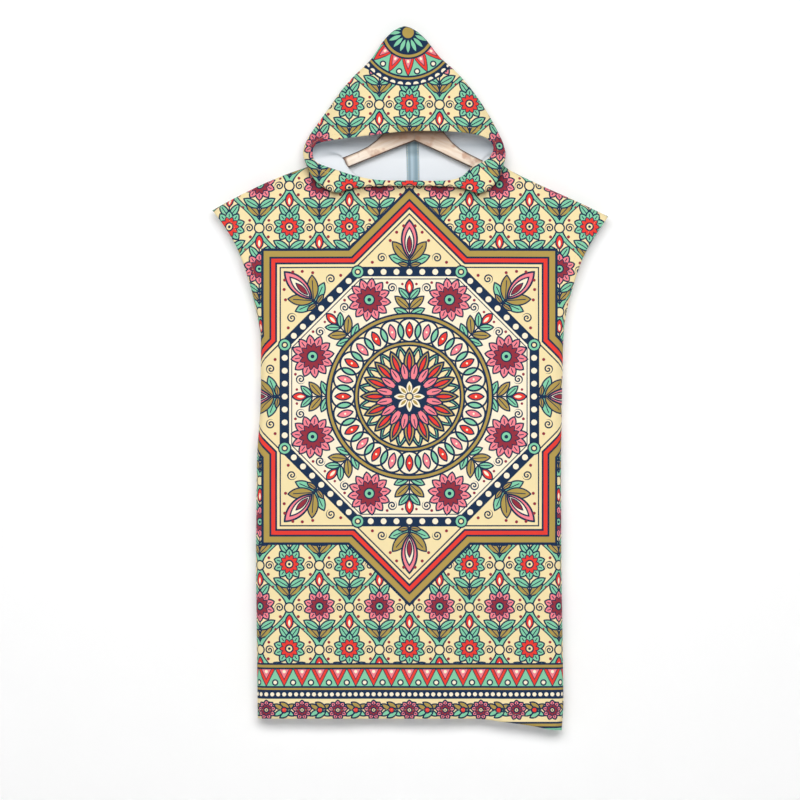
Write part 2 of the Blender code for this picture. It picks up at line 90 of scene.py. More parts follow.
# %% The shoulders and the hem, from left to right
Edge = namedtuple("Edge", "x z")
LEFT_SHOULDER = rows_of(
    Edge,
    (-309.5, -204.3), (-280.0, -187.5), (-241.0, -168.0), (-203.0, -150.8), (-162.0, -136.8),
    (-113.0, -121.0),
)
RIGHT_SHOULDER = rows_of(
    Edge,
    (124.0, -122.0), (133.0, -128.2), (142.6, -134.6), (180.0, -153.6), (217.0, -170.8),
    (254.0, -186.8), (310.3, -213.9),
)
HEM = rows_of(
    Edge,
    (-240.0, -999.7), (110.0, -999.7), (141.0, -1003.6), (188.0, -1009.4), (219.0, -1015.5),
    (238.0, -1019.0),
)
HEM_SHARE = 0.77  # a column's x at the hem, as a share of its x at the shoulder
print("shoulders:", RIGHT_SHOULDER[-1].x - LEFT_SHOULDER[0].x, "mm wide")

# %% How the cloth rolls over the shoulder and round the side seam
RIDGE_DEPTH = 10.0  # the cloth's distance from the middle plane at the shoulder,
WAIST_DEPTH = 14.0  # at the armpit,
HEM_DEPTH = 16.5  # and at the hem
DEPTH_REACH = 200.0  # below the shoulder it deepens over this length
ARMPIT_Z = -340.0
ARMPIT_REACH = 45.0  # above the armpit, the seam opens into the armhole over this height
SEAM_TOP_Z = -375.0  # from here up to the armpit, the two sides of the seam part by this much:
SEAM_TOP_OPEN = 1.2
OPEN_EDGE_STEP = 4.0  # spacing of the columns along an open armhole
Roll = namedtuple("Roll", "along share drop")
SHOULDER_ROLL = rows_of(
    Roll,
    (0.0, 0.0, 0.0), (2.0, 0.2, 0.0), (5.6, 0.56, 1.0), (9.6, 0.85, 3.8), (15.5, 1.0, 9.5),
    (24.0, 1.0, 18.0),
)
Turn = namedtuple("Turn", "share inset")
SIDE_ROLL = rows_of(
    Turn,
    (0.0, 0.0), (0.14, 0.0), (0.55, 0.16), (0.87, 0.48), (1.0, 1.0),
)
print("body at the hem:", 2 * HEM_DEPTH, "mm deep")

# %% The neck edge, from the shoulder to its lowest point in the middle
NECK_MID_X = 5.0
NECK_MID_Z = -164.5
Neck = namedtuple("Neck", "across start depth down")
NECK = rows_of(
    Neck,
    (1.000, 0.0, 10.0, 0.00), (0.986, 4.0, 10.0, 0.00), (0.963, 8.0, 10.0, 0.00),
    (0.940, 12.0, 10.3, 0.00), (0.910, 15.5, 10.9, 0.12), (0.830, 15.5, 11.8, 0.45),
    (0.730, 15.5, 12.4, 0.72), (0.580, 15.5, 13.0, 0.88), (0.400, 15.5, 13.3, 0.95),
    (0.200, 15.5, 13.5, 0.99), (0.000, 15.5, 13.5, 1.00),
)
print("neck edge:", 4 * (len(NECK) - 1), "points all round")

# %% Long shallow folds that climb from the hem
Fold = namedtuple("Fold", "x width proud climb")
FRONT_FOLDS = rows_of(
    Fold,
    (-170, 38, 2.6, 420), (-62, 46, -2.2, 560), (48, 40, 2.4, 380), (150, 34, -2.4, 300),
    (205, 24, 3.0, 240),
)
BACK_FOLDS = rows_of(
    Fold,
    (-196, 30, 2.4, 360), (-96, 44, -2.4, 480), (20, 50, 2.8, 600), (118, 38, -2.2, 340),
    (190, 30, 2.6, 300),
)
BODY_ROWS = 22
ROW_CROWDING = 1.25  # above 1, the rows crowd towards the shoulder
SHOULDER_COLUMNS = 4
print("folds:", len(FRONT_FOLDS), "front,", len(BACK_FOLDS), "back")

# %% [markdown]
# ## Sizes of the hood
#
# The hood is one piece, folded over the crown, that rises from the neck edge, rolls over a fold and comes
# back to the face opening. At its foot the fold rolls down over the neck in two soft flaps. A sphere pulled
# into shape would lose the neck edge, so the hood is a fan of paths instead, one for each angle round the
# neck. A row gives the fold and the face opening at its angle, where 0 is the middle of the front and 90 is
# the left side.

# %% The hood's rows, by angle
HOOD_ROWS_IN = 9  # rows from the neck to the fold,
HOOD_ROLL_ROWS = 4  # round it,
HOOD_ROWS_OUT = 6  # and from it to the face opening
NECK_RISE = 5.0  # a path first climbs by this much,
NECK_REACH = 0.35  # or by this share of the way to the fold
NECK_LEAN = 0.3
CORNER_EASE = 1.4
FOLD_PULL = 0.35
FOLD_PULL_LEAST = 2.5
LEAVE_DEPTH = 0.8
FACE_PULL = 0.68
Station = namedtuple("Station", "turn fold_x fold_z face_x face_z inner_y fold_y outer_y face_y roll")
HOOD = rows_of(
    Station,
    (0, 3, -166.6, 4, -158.6, -18.0, -20.0, -23.5, -23.5, 3.2),
    (20, -56, -167.6, -50, -157.8, -18.0, -20.5, -24.5, -24.5, 3.6),
    (42, -91, -170.5, -91, -149.8, -17.5, -21.0, -26.5, -25.5, 4.2),
    (56, -118, -177.5, -118, -141.0, -17.0, -21.0, -27.5, -26.0, 4.6),
    (70, -147, -160.0, -142, -132.5, -16.5, -20.0, -26.5, -25.0, 4.6),
    (81, -160, -138.5, -151, -125.0, -15.0, -17.5, -24.0, -24.0, 4.6),
    (90, -166, -123.5, -153.8, -117.0, -4.0, -7.0, -20.0, -23.0, 4.6),
    (103, -167, -108.0, -151.5, -103.5, 13.0, 0.0, -18.0, -23.5, 4.6),
    (117, -159, -89.0, -139.0, -97.3, 20.0, 0.0, -19.0, -25.5, 4.6),
    (132, -132, -51.0, -110.0, -93.4, 24.0, 0.0, -22.0, -27.5, 4.6),
    (148, -98, -4.5, -70.0, -88.6, 26.0, 0.0, -23.0, -28.5, 4.6),
    (164, -57, 37.0, -33.0, -84.2, 25.0, 0.0, -22.0, -29.0, 4.6),
    (172, -35.5, 68.4, -14.5, -82.3, 23.5, 0.0, -21.0, -29.0, 4.6),
    (180, -8.4, 84.5, 4.0, -81.0, 22.0, 0.0, -20.0, -29.0, 4.6),
    (188, 19.5, 68.8, 22.0, -80.9, 23.5, 0.0, -21.0, -29.0, 4.6),
    (196, 42, 40.5, 40.0, -81.2, 25.0, 0.0, -22.0, -29.0, 4.6),
    (212, 80, 5.0, 74.0, -82.6, 26.0, 0.0, -23.0, -28.5, 4.6),
    (228, 115, -41.0, 104.0, -86.6, 24.0, 0.0, -22.0, -27.5, 4.6),
    (243, 139, -84.0, 121.0, -91.8, 20.0, 0.0, -19.0, -25.5, 4.6),
    (257, 148.6, -107.0, 130.5, -101.0, 13.0, 0.0, -18.0, -23.5, 4.6),
    (270, 149, -124.0, 130.5, -113.0, -4.0, -7.0, -20.0, -23.0, 4.6),
    (279, 144, -140.0, 122.0, -124.6, -15.0, -17.5, -24.0, -24.0, 4.6),
    (290, 137, -158.5, 112.0, -130.4, -16.5, -20.0, -26.5, -25.0, 4.6),
    (304, 112, -178.5, 96.0, -138.4, -17.0, -21.0, -27.5, -26.0, 4.6),
    (318, 84, -171.0, 80.0, -152.8, -17.5, -21.0, -26.5, -25.5, 4.2),
    (340, 55, -167.6, 52.0, -159.0, -18.0, -20.5, -24.5, -24.5, 3.6),
)
print("hood:", max(s.fold_z for s in HOOD) - min(s.fold_z for s in HOOD), "mm high, at", len(HOOD), "angles")

# %% [markdown]
# ## The cloth's coarse form
#
# These functions turn the tables into a coarse net of points on the outside of the cloth. The solids use
# the same net, which is why the finer shells below can't drift away from them.

# %% Reading the tables
def mix(a, b, share):
    """From a at share 0 to b at share 1."""
    return a * (1 - share) + b * share


def smooth(value):
    """0 below 0, 1 above 1, and a soft step between."""
    value = min(1.0, max(0.0, value))
    return value * value * (3 - 2 * value)


def between(rows, key, value, field):
    """The field of a table at this key value, along straight lines between its rows."""
    for low, high in zip(rows, rows[1:]):
        a = getattr(low, key)
        b = getattr(high, key)
        if min(a, b) <= value <= max(a, b):
            return mix(getattr(low, field), getattr(high, field), (value - a) / (b - a))
    nearest = min(rows, key=lambda row: abs(getattr(row, key) - value))
    return getattr(nearest, field)


def around(rows, key, value, field, period):
    """The field of a table that closes on itself, along a smooth curve through its rows."""
    low = max(i for i in range(len(rows)) if getattr(rows[i], key) <= value)

    def row(i):
        turns, at = divmod(i, len(rows))
        return getattr(rows[at], key) + turns * period, getattr(rows[at], field)

    (k0, v0), (k1, v1), (k2, v2), (k3, v3) = (row(low + i) for i in (-1, 0, 1, 2))
    share = (value - k1) / (k2 - k1)
    slope1 = (v2 - v0) / (k2 - k0) * (k2 - k1)
    slope2 = (v3 - v1) / (k3 - k1) * (k2 - k1)
    a = 2 * v1 - 2 * v2 + slope1 + slope2
    b = 3 * v2 - 3 * v1 - 2 * slope1 - slope2
    return ((a * share + b) * share + slope1) * share + v1


def bezier(points, share):
    """A point of a curve that leaves the first point towards the second and arrives from the third."""
    rest = 1 - share
    weights = (rest**3, 3 * rest**2 * share, 3 * rest * share**2, share**3)
    return sum((p * w for p, w in zip(points, weights)), Vector())


print("half way down the left side, x is", round(between(LEFT_SIDE, "z", -600.0, "x"), 1), "mm")


# %% A panel's top edge
def roll_at(along):
    """How far the cloth has turned and dropped, this far along its roll over the shoulder."""
    share = between(SHOULDER_ROLL, "along", along, "share")
    drop = between(SHOULDER_ROLL, "along", along, "drop")
    return share, drop


def neck_point(row, right):
    """A point of the neck edge on the front, for a row of NECK, on the left or the right half."""
    ridge = RIGHT_SHOULDER[0] if right else LEFT_SHOULDER[-1]
    at = NECK[row]
    share, drop = roll_at(at.start)
    x = mix(NECK_MID_X, ridge.x, at.across)
    z = mix(ridge.z - drop, NECK_MID_Z, at.down)
    return Vector((x, -at.depth * share, z))


Top = namedtuple("Top", "x z depth start")


def shoulder_tops(places, table):
    """Columns that start on the shoulder's edge."""
    return [Top(x, between(table, "x", x, "z"), RIDGE_DEPTH, 0.0) for x in places]


def spread(start, stop, count):
    """Evenly spaced numbers between two others."""
    return [mix(start, stop, i / (count + 1)) for i in range(1, count + 1)]


def panel_tops():
    """A column of a panel at its top edge: its place, its depth and its start on the shoulder's roll."""
    band = [OPEN_EDGE_STEP * i for i in range(len(SIDE_ROLL))]
    left = [LEFT_SHOULDER[0].x + step for step in band]
    right = [RIGHT_SHOULDER[-1].x - step for step in reversed(band)]
    left += spread(left[-1], LEFT_SHOULDER[-1].x, SHOULDER_COLUMNS)
    right = spread(RIGHT_SHOULDER[0].x, right[0], SHOULDER_COLUMNS) + right
    neck = []
    ridge = len(NECK) - 1
    for i in range(-ridge, ridge + 1):
        row = ridge - abs(i)
        at = neck_point(row, i > 0)
        neck.append(Top(at.x, at.z, NECK[row].depth, NECK[row].start))
    return shoulder_tops(left, LEFT_SHOULDER) + neck + shoulder_tops(right, RIGHT_SHOULDER)


print("columns across a panel:", len(panel_tops()))


# %% A panel's rows
def panel_depth(top, folds, x, z):
    """How far the cloth stands from the middle plane."""
    lower = mix(WAIST_DEPTH, HEM_DEPTH, smooth((ARMPIT_Z - z) / (ARMPIT_Z - HEM[0].z)))
    for fold in folds:
        climbed = (z - HEM[0].z) / fold.climb
        lower += fold.proud * math.exp(-(((x - fold.x) / fold.width) ** 2)) * smooth(1 - climbed)
    return mix(top.depth, lower, smooth((top.z - z) / DEPTH_REACH))


def row_level(top, along, fall):
    """How far a column has turned over the shoulder, and its height, in one row."""
    whole = SHOULDER_ROLL[-1].along
    share, drop = roll_at(mix(top.start, whole, along / whole))
    start = top.z - drop + roll_at(top.start)[1]
    return share, mix(start, between(HEM, "x", top.x * HEM_SHARE, "z"), fall)


def panel_row(tops, along, fall, folds, facing):
    """One row of a panel's outer points, from its left edge to its right."""
    last = len(tops) - 1
    band = len(SIDE_ROLL) - 1
    inner_left = tops[band].x
    inner_width = tops[last - band].x - inner_left
    left_edge_z = row_level(tops[0], along, fall)[1]
    right_edge_z = row_level(tops[last], along, fall)[1]
    row = []
    for c, top in enumerate(tops):
        share, z = row_level(top, along, fall)
        edge = min(c, last - c)
        in_band = edge <= band
        left_z = z if in_band else left_edge_z
        right_z = z if in_band else right_edge_z
        left = between(LEFT_SIDE, "z", left_z, "x")
        right = between(RIGHT_SIDE, "z", right_z, "x")
        depth = panel_depth(top, folds, top.x, z)
        opened = smooth((left_z - ARMPIT_Z) / ARMPIT_REACH)
        side = SIDE_ROLL[min(edge, band)]
        step = mix(depth * side.inset, OPEN_EDGE_STEP * min(edge, band), opened)
        if in_band:
            x = left + step if c < last / 2 else right - step
        else:
            x = mix(left + step, right - step, (top.x - inner_left) / inner_width)
        eased = smooth((left_z - SEAM_TOP_Z) / (ARMPIT_Z - SEAM_TOP_Z)) * (1 - opened)
        gap = HALF_GAP + SEAM_TOP_OPEN * eased
        y = gap + (depth - gap) * share * mix(side.share, 1.0, opened)
        row.append((x, facing * y, z))
    return row


def panel_grid(folds, facing):
    """All the rows of a panel, from the shoulder to the hem."""
    tops = panel_tops()
    whole = SHOULDER_ROLL[-1].along
    grid = [panel_row(tops, roll.along, 0.0, folds, facing) for roll in SHOULDER_ROLL]
    for r in range(1, BODY_ROWS + 1):
        grid.append(panel_row(tops, whole, (r / BODY_ROWS) ** ROW_CROWDING, folds, facing))
    return np.array(grid)


print("coarse net of the front:", panel_grid(FRONT_FOLDS, -1).shape[:2])


# %% The neck edge that the hood starts from
def neck_corner(i):
    """A point of the neck edge by its number, all the way round."""
    quarter = len(NECK) - 1
    i %= 4 * quarter
    past = i % (2 * quarter)
    point = neck_point(abs(quarter - past), i > 2 * quarter)
    if quarter < i < 3 * quarter:
        point.y = -point.y
    return point


def neck_at(turn):
    """A point of the neck edge by its angle."""
    position = turn / 90 * (len(NECK) - 1)
    low = math.floor(position)
    return neck_corner(low).lerp(neck_corner(low + 1), position - low)


def flat(v):
    """The same vector without its depth."""
    return Vector((v.x, 0, v.z))


print("lowest point of the neck edge:", tuple(round(n, 1) for n in neck_at(0.0)))


# %% A path up the hood
def hood_path(turn):
    """The hood's outer points at this angle, from the neck edge over the fold to the opening for the face.

    With each point comes how far the print has run on past what shows from the front, round the fold."""
    at = Station(turn, *(around(HOOD, "turn", turn, field, 360) for field in Station._fields[1:]))
    start = neck_at(turn) + Vector((0, 0, 2 * HALF_GAP))
    start.x += math.copysign(CORNER_EASE * abs(math.sin(math.radians(turn))) ** 3, NECK_MID_X - start.x)
    fold = Vector((at.fold_x, at.fold_y, at.fold_z))
    face = Vector((at.face_x, at.face_y, at.face_z))
    outward = (flat(fold - start).normalized() + flat(fold - face).normalized()).normalized()
    centre = fold - outward * at.roll
    before = centre + Vector((0, at.roll, 0))
    after = centre - Vector((0, at.roll, 0))
    reach = flat(before - start).length
    rise = max(NECK_RISE, reach * NECK_REACH * -math.cos(math.radians(turn)))
    lead = start + Vector((0, (at.inner_y - start.y) * NECK_LEAN, rise))
    arrive = before - outward * max(FOLD_PULL_LEAST, reach * FOLD_PULL)
    arrive.y = at.inner_y
    path = [bezier([start, lead, arrive, before], i / HOOD_ROWS_IN) for i in range(HOOD_ROWS_IN + 1)]
    past = [0.0] * len(path)
    for i in range(1, HOOD_ROLL_ROWS):
        angle = math.pi * i / HOOD_ROLL_ROWS
        path.append(centre + (outward * math.sin(angle) + Vector((0, math.cos(angle), 0))) * at.roll)
        past.append(at.roll * (min(angle, math.pi - angle) - math.sin(angle)))
    leave = after - outward * flat(face - after).length * FOLD_PULL
    leave.y = mix(after.y, at.outer_y, LEAVE_DEPTH)
    end = after.lerp(face, FACE_PULL)
    end.y = at.outer_y
    path += [bezier([after, leave, end, face], i / HOOD_ROWS_OUT) for i in range(HOOD_ROWS_OUT + 1)]
    past += [0.0] * (HOOD_ROWS_OUT + 1)
    return [(*p, *(outward * run)) for p, run in zip(path, past)]


print("points on the hood's path over the crown:", len(hood_path(180.0)))

# %% [markdown]
# ## From coarse points to soft cloth
#
# Towelling bends softly and never hangs quite even. Subdivision would round the net off and pull it away
# from its solid, so a smooth curve is drawn through the coarse points both ways instead. Then creases move
# the cloth by a millimetre or two: soft troughs and ridges, placed where the armholes pull and where the hem
# swings.

# %% Finer points on the same form
def slopes(knots, values):
    """Slopes of a curve that never swings past its own points."""
    step = np.diff(knots).reshape(-1, *[1] * (values.ndim - 1))
    rise = np.diff(values, axis=0) / step
    a, b = rise[:-1], rise[1:]
    wa = 2 * step[1:] + step[:-1]
    wb = step[1:] + 2 * step[:-1]
    same = a * b > 0
    safe_a = np.where(same, a, 1.0)
    safe_b = np.where(same, b, 1.0)
    inner = np.where(same, (wa + wb) / (wa / safe_a + wb / safe_b), 0.0)
    return np.concatenate([rise[:1], inner, rise[-1:]])


def curve_through(knots, values, at):
    """The curve's points at these places along it."""
    slope = slopes(knots, values)
    low = np.clip(np.searchsorted(knots, at, side="right") - 1, 0, len(knots) - 2)
    shape = (-1, *[1] * (values.ndim - 1))
    step = (knots[low + 1] - knots[low]).reshape(shape)
    t = ((at - knots[low]) / (knots[low + 1] - knots[low])).reshape(shape)
    v0, v1 = values[low], values[low + 1]
    m0, m1 = slope[low] * step, slope[low + 1] * step
    square, cube = t * t, t * t * t
    return (
        (2 * cube - 3 * square + 1) * v0
        + (cube - 2 * square + t) * m0
        + (3 * square - 2 * cube) * v1
        + (cube - square) * m1
    )


def finer(values, spacing, closed=False):
    """More points along the first axis, about this far apart, on a curve through the ones given."""
    if closed:
        values = np.concatenate([values[-3:], values, values[:4]])
    gaps = np.linalg.norm(np.diff(values[..., :3], axis=0), axis=-1)
    gaps = np.maximum(gaps.reshape(len(gaps), -1).mean(axis=1), 0.2)
    knots = np.concatenate([[0.0], np.cumsum(gaps)])
    first, last = (3, len(knots) - 4) if closed else (0, len(knots) - 1)
    at = []
    for i in range(first, last):
        parts = max(1, round(gaps[i] / spacing))
        at += [knots[i] + gaps[i] * k / parts for k in range(parts)]
    if not closed:
        at.append(knots[last])
    return curve_through(knots, values, np.array(at))


print("a 60 mm line in 6 mm steps:", len(finer(np.array([[0.0, 0, 0], [60.0, 0, 0]]), 6.0)), "points")

# %% Where the creases run
Crease = namedtuple("Crease", "x0 z0 x1 z1 width depth")
FRONT_CREASES = rows_of(
    Crease,
    (-236, -352, -150, -262, 20, -1.6), (-232, -372, -118, -330, 17, 1.3),
    (-238, -420, -160, -400, 15, -1.1), (240, -350, 160, -256, 20, -1.5),
    (236, -376, 128, -322, 18, 1.4), (238, -410, 170, -396, 14, -1.0),
    (-120, -196, -208, -252, 22, 1.2), (118, -198, 196, -246, 20, 1.2),
    (-60, -520, -84, -930, 30, -1.3), (96, -560, 116, -960, 26, 1.4), (-188, -640, -196, -985, 20, 1.3),
    (200, -760, 214, -1010, 18, -1.6),
)
BACK_CREASES = rows_of(
    Crease,
    (-238, -350, -150, -250, 20, -1.6), (-234, -380, -120, -330, 18, 1.4),
    (240, -352, 150, -262, 20, -1.7), (236, -374, 126, -334, 17, 1.2), (-96, -205, -60, -400, 26, 1.2),
    (92, -210, 70, -420, 28, 1.4), (-10, -560, 14, -960, 34, 1.5), (-150, -600, -170, -970, 26, -1.3),
    (160, -640, 150, -980, 24, -1.4),
)
print("creases:", len(FRONT_CREASES), "front,", len(BACK_CREASES), "back")


# %% How deep they are
CREASE_SWAY = 0.5  # a crease bends to and fro by this share of its width,
CREASE_BENDS = 4.0  # through this angle from end to end
CREASE_START = 0.6  # its width where it starts, and what it gains by its end, as shares of its width
CREASE_GAIN = 0.5
CREASE_FADE = 2.1  # more than this fades it sooner towards its ends


def crease_depth(creases, x, z):
    """How far the creases push the cloth out here. Each fades towards its ends."""
    total = np.zeros_like(x)
    for crease in creases:
        run_x, run_z = crease.x1 - crease.x0, crease.z1 - crease.z0
        length = math.hypot(run_x, run_z)
        along = ((x - crease.x0) * run_x + (z - crease.z0) * run_z) / length**2
        away = ((x - crease.x0) * run_z - (z - crease.z0) * run_x) / length
        bent = away + crease.width * CREASE_SWAY * np.sin(along * CREASE_BENDS)
        width = crease.width * (CREASE_START + CREASE_GAIN * np.clip(along, 0, 1))
        total += crease.depth * np.exp(-((bent / width) ** 2) - (CREASE_FADE * (along - 0.5)) ** 4)
    return total


Wave = namedtuple("Wave", "across down phase depth")
WAVES = rows_of(
    Wave,
    (0.021, 0.006, 0.4, 0.45), (-0.013, 0.011, 2.1, 0.4), (0.034, 0.017, 4.4, 0.22),
)


def wave_depth(x, z):
    """A faint unevenness everywhere."""
    return sum(w.depth * np.sin(w.across * x + w.down * z + w.phase) for w in WAVES)


print("the first crease is", round(float(crease_depth(FRONT_CREASES[:1], -193.0, -307.0)), 1), "mm deep")

# %% [markdown]
# ## The three shells
#
# `Cloth` keeps a sheet's points in rows and columns, the direction that its outside faces, its flat cut,
# and how much shade lies on it. The cut is measured along the cloth and becomes the UV map, so the print
# runs evenly over every bend, as it does on cloth that is printed flat and then sewn. An unwrap by Blender
# would stretch it.

# %% Directions and distances on a net
GRAIN = 6.0  # spacing of the cloth's points
Cloth = namedtuple("Cloth", "name points normals cut closed shade")


def outward_of(points, closed):
    """The direction that the outside of the cloth faces at each point."""
    down = np.gradient(points, axis=0)
    if closed:
        across = (np.roll(points, -1, axis=1) - np.roll(points, 1, axis=1)) / 2
    else:
        across = np.gradient(points, axis=1)
    normal = np.cross(down, across)
    length = np.linalg.norm(normal, axis=-1, keepdims=True)
    return normal / np.maximum(length, 1e-9)


def run_along(points, axis):
    """The distance walked along the cloth, from its first point on this axis."""
    steps = np.linalg.norm(np.diff(points, axis=axis), axis=-1)
    zero = np.zeros_like(np.take(steps, [0], axis=axis))
    return np.concatenate([zero, np.cumsum(steps, axis=axis)], axis=axis)


print("the front is laid out every", GRAIN, "mm")

# %% The soft shade under the hood
SHADE_REACH = 17.0  # the shade is gone this far from the hood's lower edge
SHADE_FALL = 1.6  # above 1, it is deepest close to the edge


def shade_under_hood(x, z):
    """How deep a point lies in the hood's soft shade: 1 at the hood's lower edge and 0 beyond the reach."""
    low = [s for s in HOOD if s.turn <= 90 or s.turn >= 270]
    low.sort(key=lambda s: s.fold_x)
    edge = np.array([(s.fold_x, s.fold_z) for s in low])
    away = np.full(x.shape, np.inf)
    for (x0, z0), (x1, z1) in zip(edge[:-1], edge[1:]):
        run_x, run_z = x1 - x0, z1 - z0
        along = ((x - x0) * run_x + (z - z0) * run_z) / (run_x**2 + run_z**2)
        along = np.clip(along, 0, 1)
        away = np.minimum(away, np.hypot(x - x0 - along * run_x, z - z0 - along * run_z))
    return np.clip(1 - away / SHADE_REACH, 0, 1) ** SHADE_FALL


print("shade 5 mm below the hood:", round(float(shade_under_hood(np.array([0.0]), np.array([-171.7]))[0]), 2))

# %% The body's two panels
EDGE_CALM = 25.0  # creases fade out this close to the sides,
TOP_CALM = 40.0  # and this close to the top


def panel(name, folds, creases, facing):
    """The front, with facing -1, or the back, with facing 1."""
    points = finer(panel_grid(folds, facing), GRAIN)
    points = finer(points.swapaxes(0, 1), GRAIN).swapaxes(0, 1)
    x, z = points[..., 0], points[..., 2]
    edge = np.minimum(run_along(points, 1), run_along(points[:, ::-1], 1)[:, ::-1])
    top = run_along(points, 0)
    fade = np.clip(edge / EDGE_CALM, 0, 1) * np.clip(top / TOP_CALM, 0, 1)
    moved = (crease_depth(creases, x, z) + wave_depth(x * facing, z)) * fade
    points[..., 1] += facing * moved
    normals = outward_of(points, False)
    if facing > 0:
        normals = -normals
    across = run_along(points[..., [0, 1]], 1)
    middle = np.array([np.interp(0.0, row_x, row) for row_x, row in zip(x, across)])
    up = run_along(points[::-1][..., [1, 2]], 0)[::-1]
    cut = np.stack([across - middle[:, None], up + z[-1:]], axis=-1)
    return Cloth(name, points, normals, cut, False, shade_under_hood(x, z) * (facing < 0))


front = panel("front", FRONT_FOLDS, FRONT_CREASES, -1)
back = panel("back", BACK_FOLDS, BACK_CREASES, 1)
print("front:", front.points.shape[:2], "back:", back.points.shape[:2])

# %% The hood
HOOD_LAY = 600.0  # on the flat cloth, the hood is cut this far above the body's pieces
CLOSE_TURNS = {94.5, 175.5, 184.5, 265.5}  # more angles, where the hood bends most


def hood():
    """The hood, with the angle of each column and the row number that each of its rows came from."""
    step = 90 / (len(NECK) - 1)
    turns = sorted({i * step for i in range(4 * (len(NECK) - 1))} | CLOSE_TURNS)
    coarse = [[(*point, turn, row) for row, point in enumerate(hood_path(turn))] for turn in turns]
    fine = finer(np.array(coarse).swapaxes(0, 1), GRAIN / 2)
    fine = finer(fine.swapaxes(0, 1), GRAIN, closed=True).swapaxes(0, 1)
    points, past, turn, row = np.split(fine, [3, 6, 7], axis=-1)
    normals = outward_of(points, True)
    if (normals[-1] @ np.array([0, 1, 0])).mean() > 0:
        normals = -normals
    cut = points[..., [0, 2]] + past[..., [0, 2]] + np.array([0, HOOD_LAY])
    return Cloth("hood", points, normals, cut, True, np.zeros(row.shape[:2])), turn[0, :, 0], row[:, 0, 0]


top_hood, hood_turns, hood_rows = hood()
print("hood:", top_hood.points.shape[:2])

# %% [markdown]
# ## A wall for each shell
#
# A net has no thickness, and the real cloth is 2 mm thick and white on its other side. The net could be
# copied and stitched to itself, but the Solidify modifier does both: it grows a wall inwards, and its
# material offset gives the inner face the next material.


# %% Meshes with a wall and a print
def place(points):
    """From millimetres about the garment's middle to metres about the hook."""
    return (points - np.array([HOOK_X, 0, 0])) * MM


def cloth_object(cloth, materials, thickness=CLOTH):
    """A net as an object with a flat cut, a shade and a wall."""
    rows, columns = cloth.points.shape[:2]
    index = np.arange(rows * columns).reshape(rows, columns)
    if cloth.closed:
        index = np.concatenate([index, index[:, :1]], axis=1)
    corners = [index[:-1, :-1], index[1:, :-1], index[1:, 1:], index[:-1, 1:]]
    faces = np.stack(corners, axis=-1).reshape(-1, 4)
    centres = place(cloth.points).reshape(-1, 3)
    first = centres[faces[:, 1]] - centres[faces[:, 0]]
    second = centres[faces[:, 3]] - centres[faces[:, 0]]
    faces_out = (np.cross(first, second) * cloth.normals.reshape(-1, 3)[faces[:, 0]]).sum() > 0
    if not faces_out:
        faces = faces[:, ::-1]
    mesh = bpy.data.meshes.new(cloth.name + "_cloth")
    mesh.from_pydata(centres.tolist(), [], faces.tolist())
    layer = mesh.uv_layers.new(name="cut")
    corner = np.zeros(len(mesh.loops), np.int32)
    mesh.loops.foreach_get("vertex_index", corner)
    cut = cloth.cut.reshape(-1, 2)[corner] * MM
    layer.data.foreach_set("uv", cut.astype(np.float32).ravel())
    shade = mesh.attributes.new("shade", "FLOAT", "POINT")
    shade.data.foreach_set("value", cloth.shade.astype(np.float32).ravel())
    mesh.shade_smooth()
    made = bpy.data.objects.new(cloth.name + "_cloth", mesh)
    bpy.context.scene.collection.objects.link(made)
    for material in materials:
        mesh.materials.append(material)
    wall = made.modifiers.new("wall", "SOLIDIFY")
    wall.thickness = thickness * MM
    wall.offset = -1
    wall.material_offset = len(materials) - 1
    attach(made, "root")
    return made


print("the front's first point:", [round(float(n), 3) for n in place(front.points)[0, 0]])

# %% [markdown]
# ## Shader maths as ordinary expressions
#
# A shader works out numbers with Math nodes, and a print needs hundreds. Wiring them by hand would hide
# what they do. `Value` wraps one socket, so that `a * 2 + b` builds the nodes, and `maths` reaches any
# operation that has no sign of its own. Every other node comes from `Nodes.node`, which takes the node's
# type, its settings, and the values or links of its sockets.


# %% A node tree and the values in it
class Nodes:
    """A node tree, to which one method adds any node."""

    def __init__(self, tree):
        self.tree = tree

    def feed(self, value, slot):
        if isinstance(value, Value):
            self.tree.links.new(value.socket, slot)
        else:
            slot.default_value = value

    def node(self, kind, settings=None, inputs=None, output=0):
        made = self.tree.nodes.new(kind)
        for name, value in (settings or {}).items():
            setattr(made, name, value)
        for slot, value in (inputs or {}).items():
            self.feed(value, made.inputs[slot])
        return Value(self, made.outputs[output])


class Value:
    """One output of a node. Its signs and its maths method add Math nodes to the same tree."""

    def __init__(self, nodes, socket):
        self.nodes = nodes
        self.socket = socket

    def maths(self, operation, *others):
        inputs = dict(enumerate((self, *others)))
        return self.nodes.node("ShaderNodeMath", {"operation": operation}, inputs)

    def parts(self):
        """The three numbers of a vector."""
        first = self.nodes.node("ShaderNodeSeparateXYZ", inputs={0: self})
        return [Value(self.nodes, socket) for socket in first.socket.node.outputs]

    def limited(self, low, high):
        return self.maths("MAXIMUM", low).maths("MINIMUM", high)

    def __add__(self, other):
        return self.maths("ADD", other)

    def __sub__(self, other):
        return self.maths("SUBTRACT", other)

    def __mul__(self, other):
        return self.maths("MULTIPLY", other)

    def __truediv__(self, other):
        return self.maths("DIVIDE", other)

    def __rsub__(self, other):
        return self.maths("MULTIPLY_ADD", -1.0, other)

    def __neg__(self):
        return self.maths("MULTIPLY", -1.0)

    def __abs__(self):
        return self.maths("ABSOLUTE")

    __radd__ = __add__
    __rmul__ = __mul__


trial = bpy.data.node_groups.new("trial", "ShaderNodeTree")
result = 1.0 - Nodes(trial).node("ShaderNodeValue") * 2.0
print("1 - value * 2 ends in", result.socket.node.operation, "and made", len(trial.nodes), "nodes")
bpy.data.node_groups.remove(trial)


# %% Maths with names
def least(a, b):
    """The smaller of two values, which joins two shapes."""
    return a.maths("MINIMUM", b)


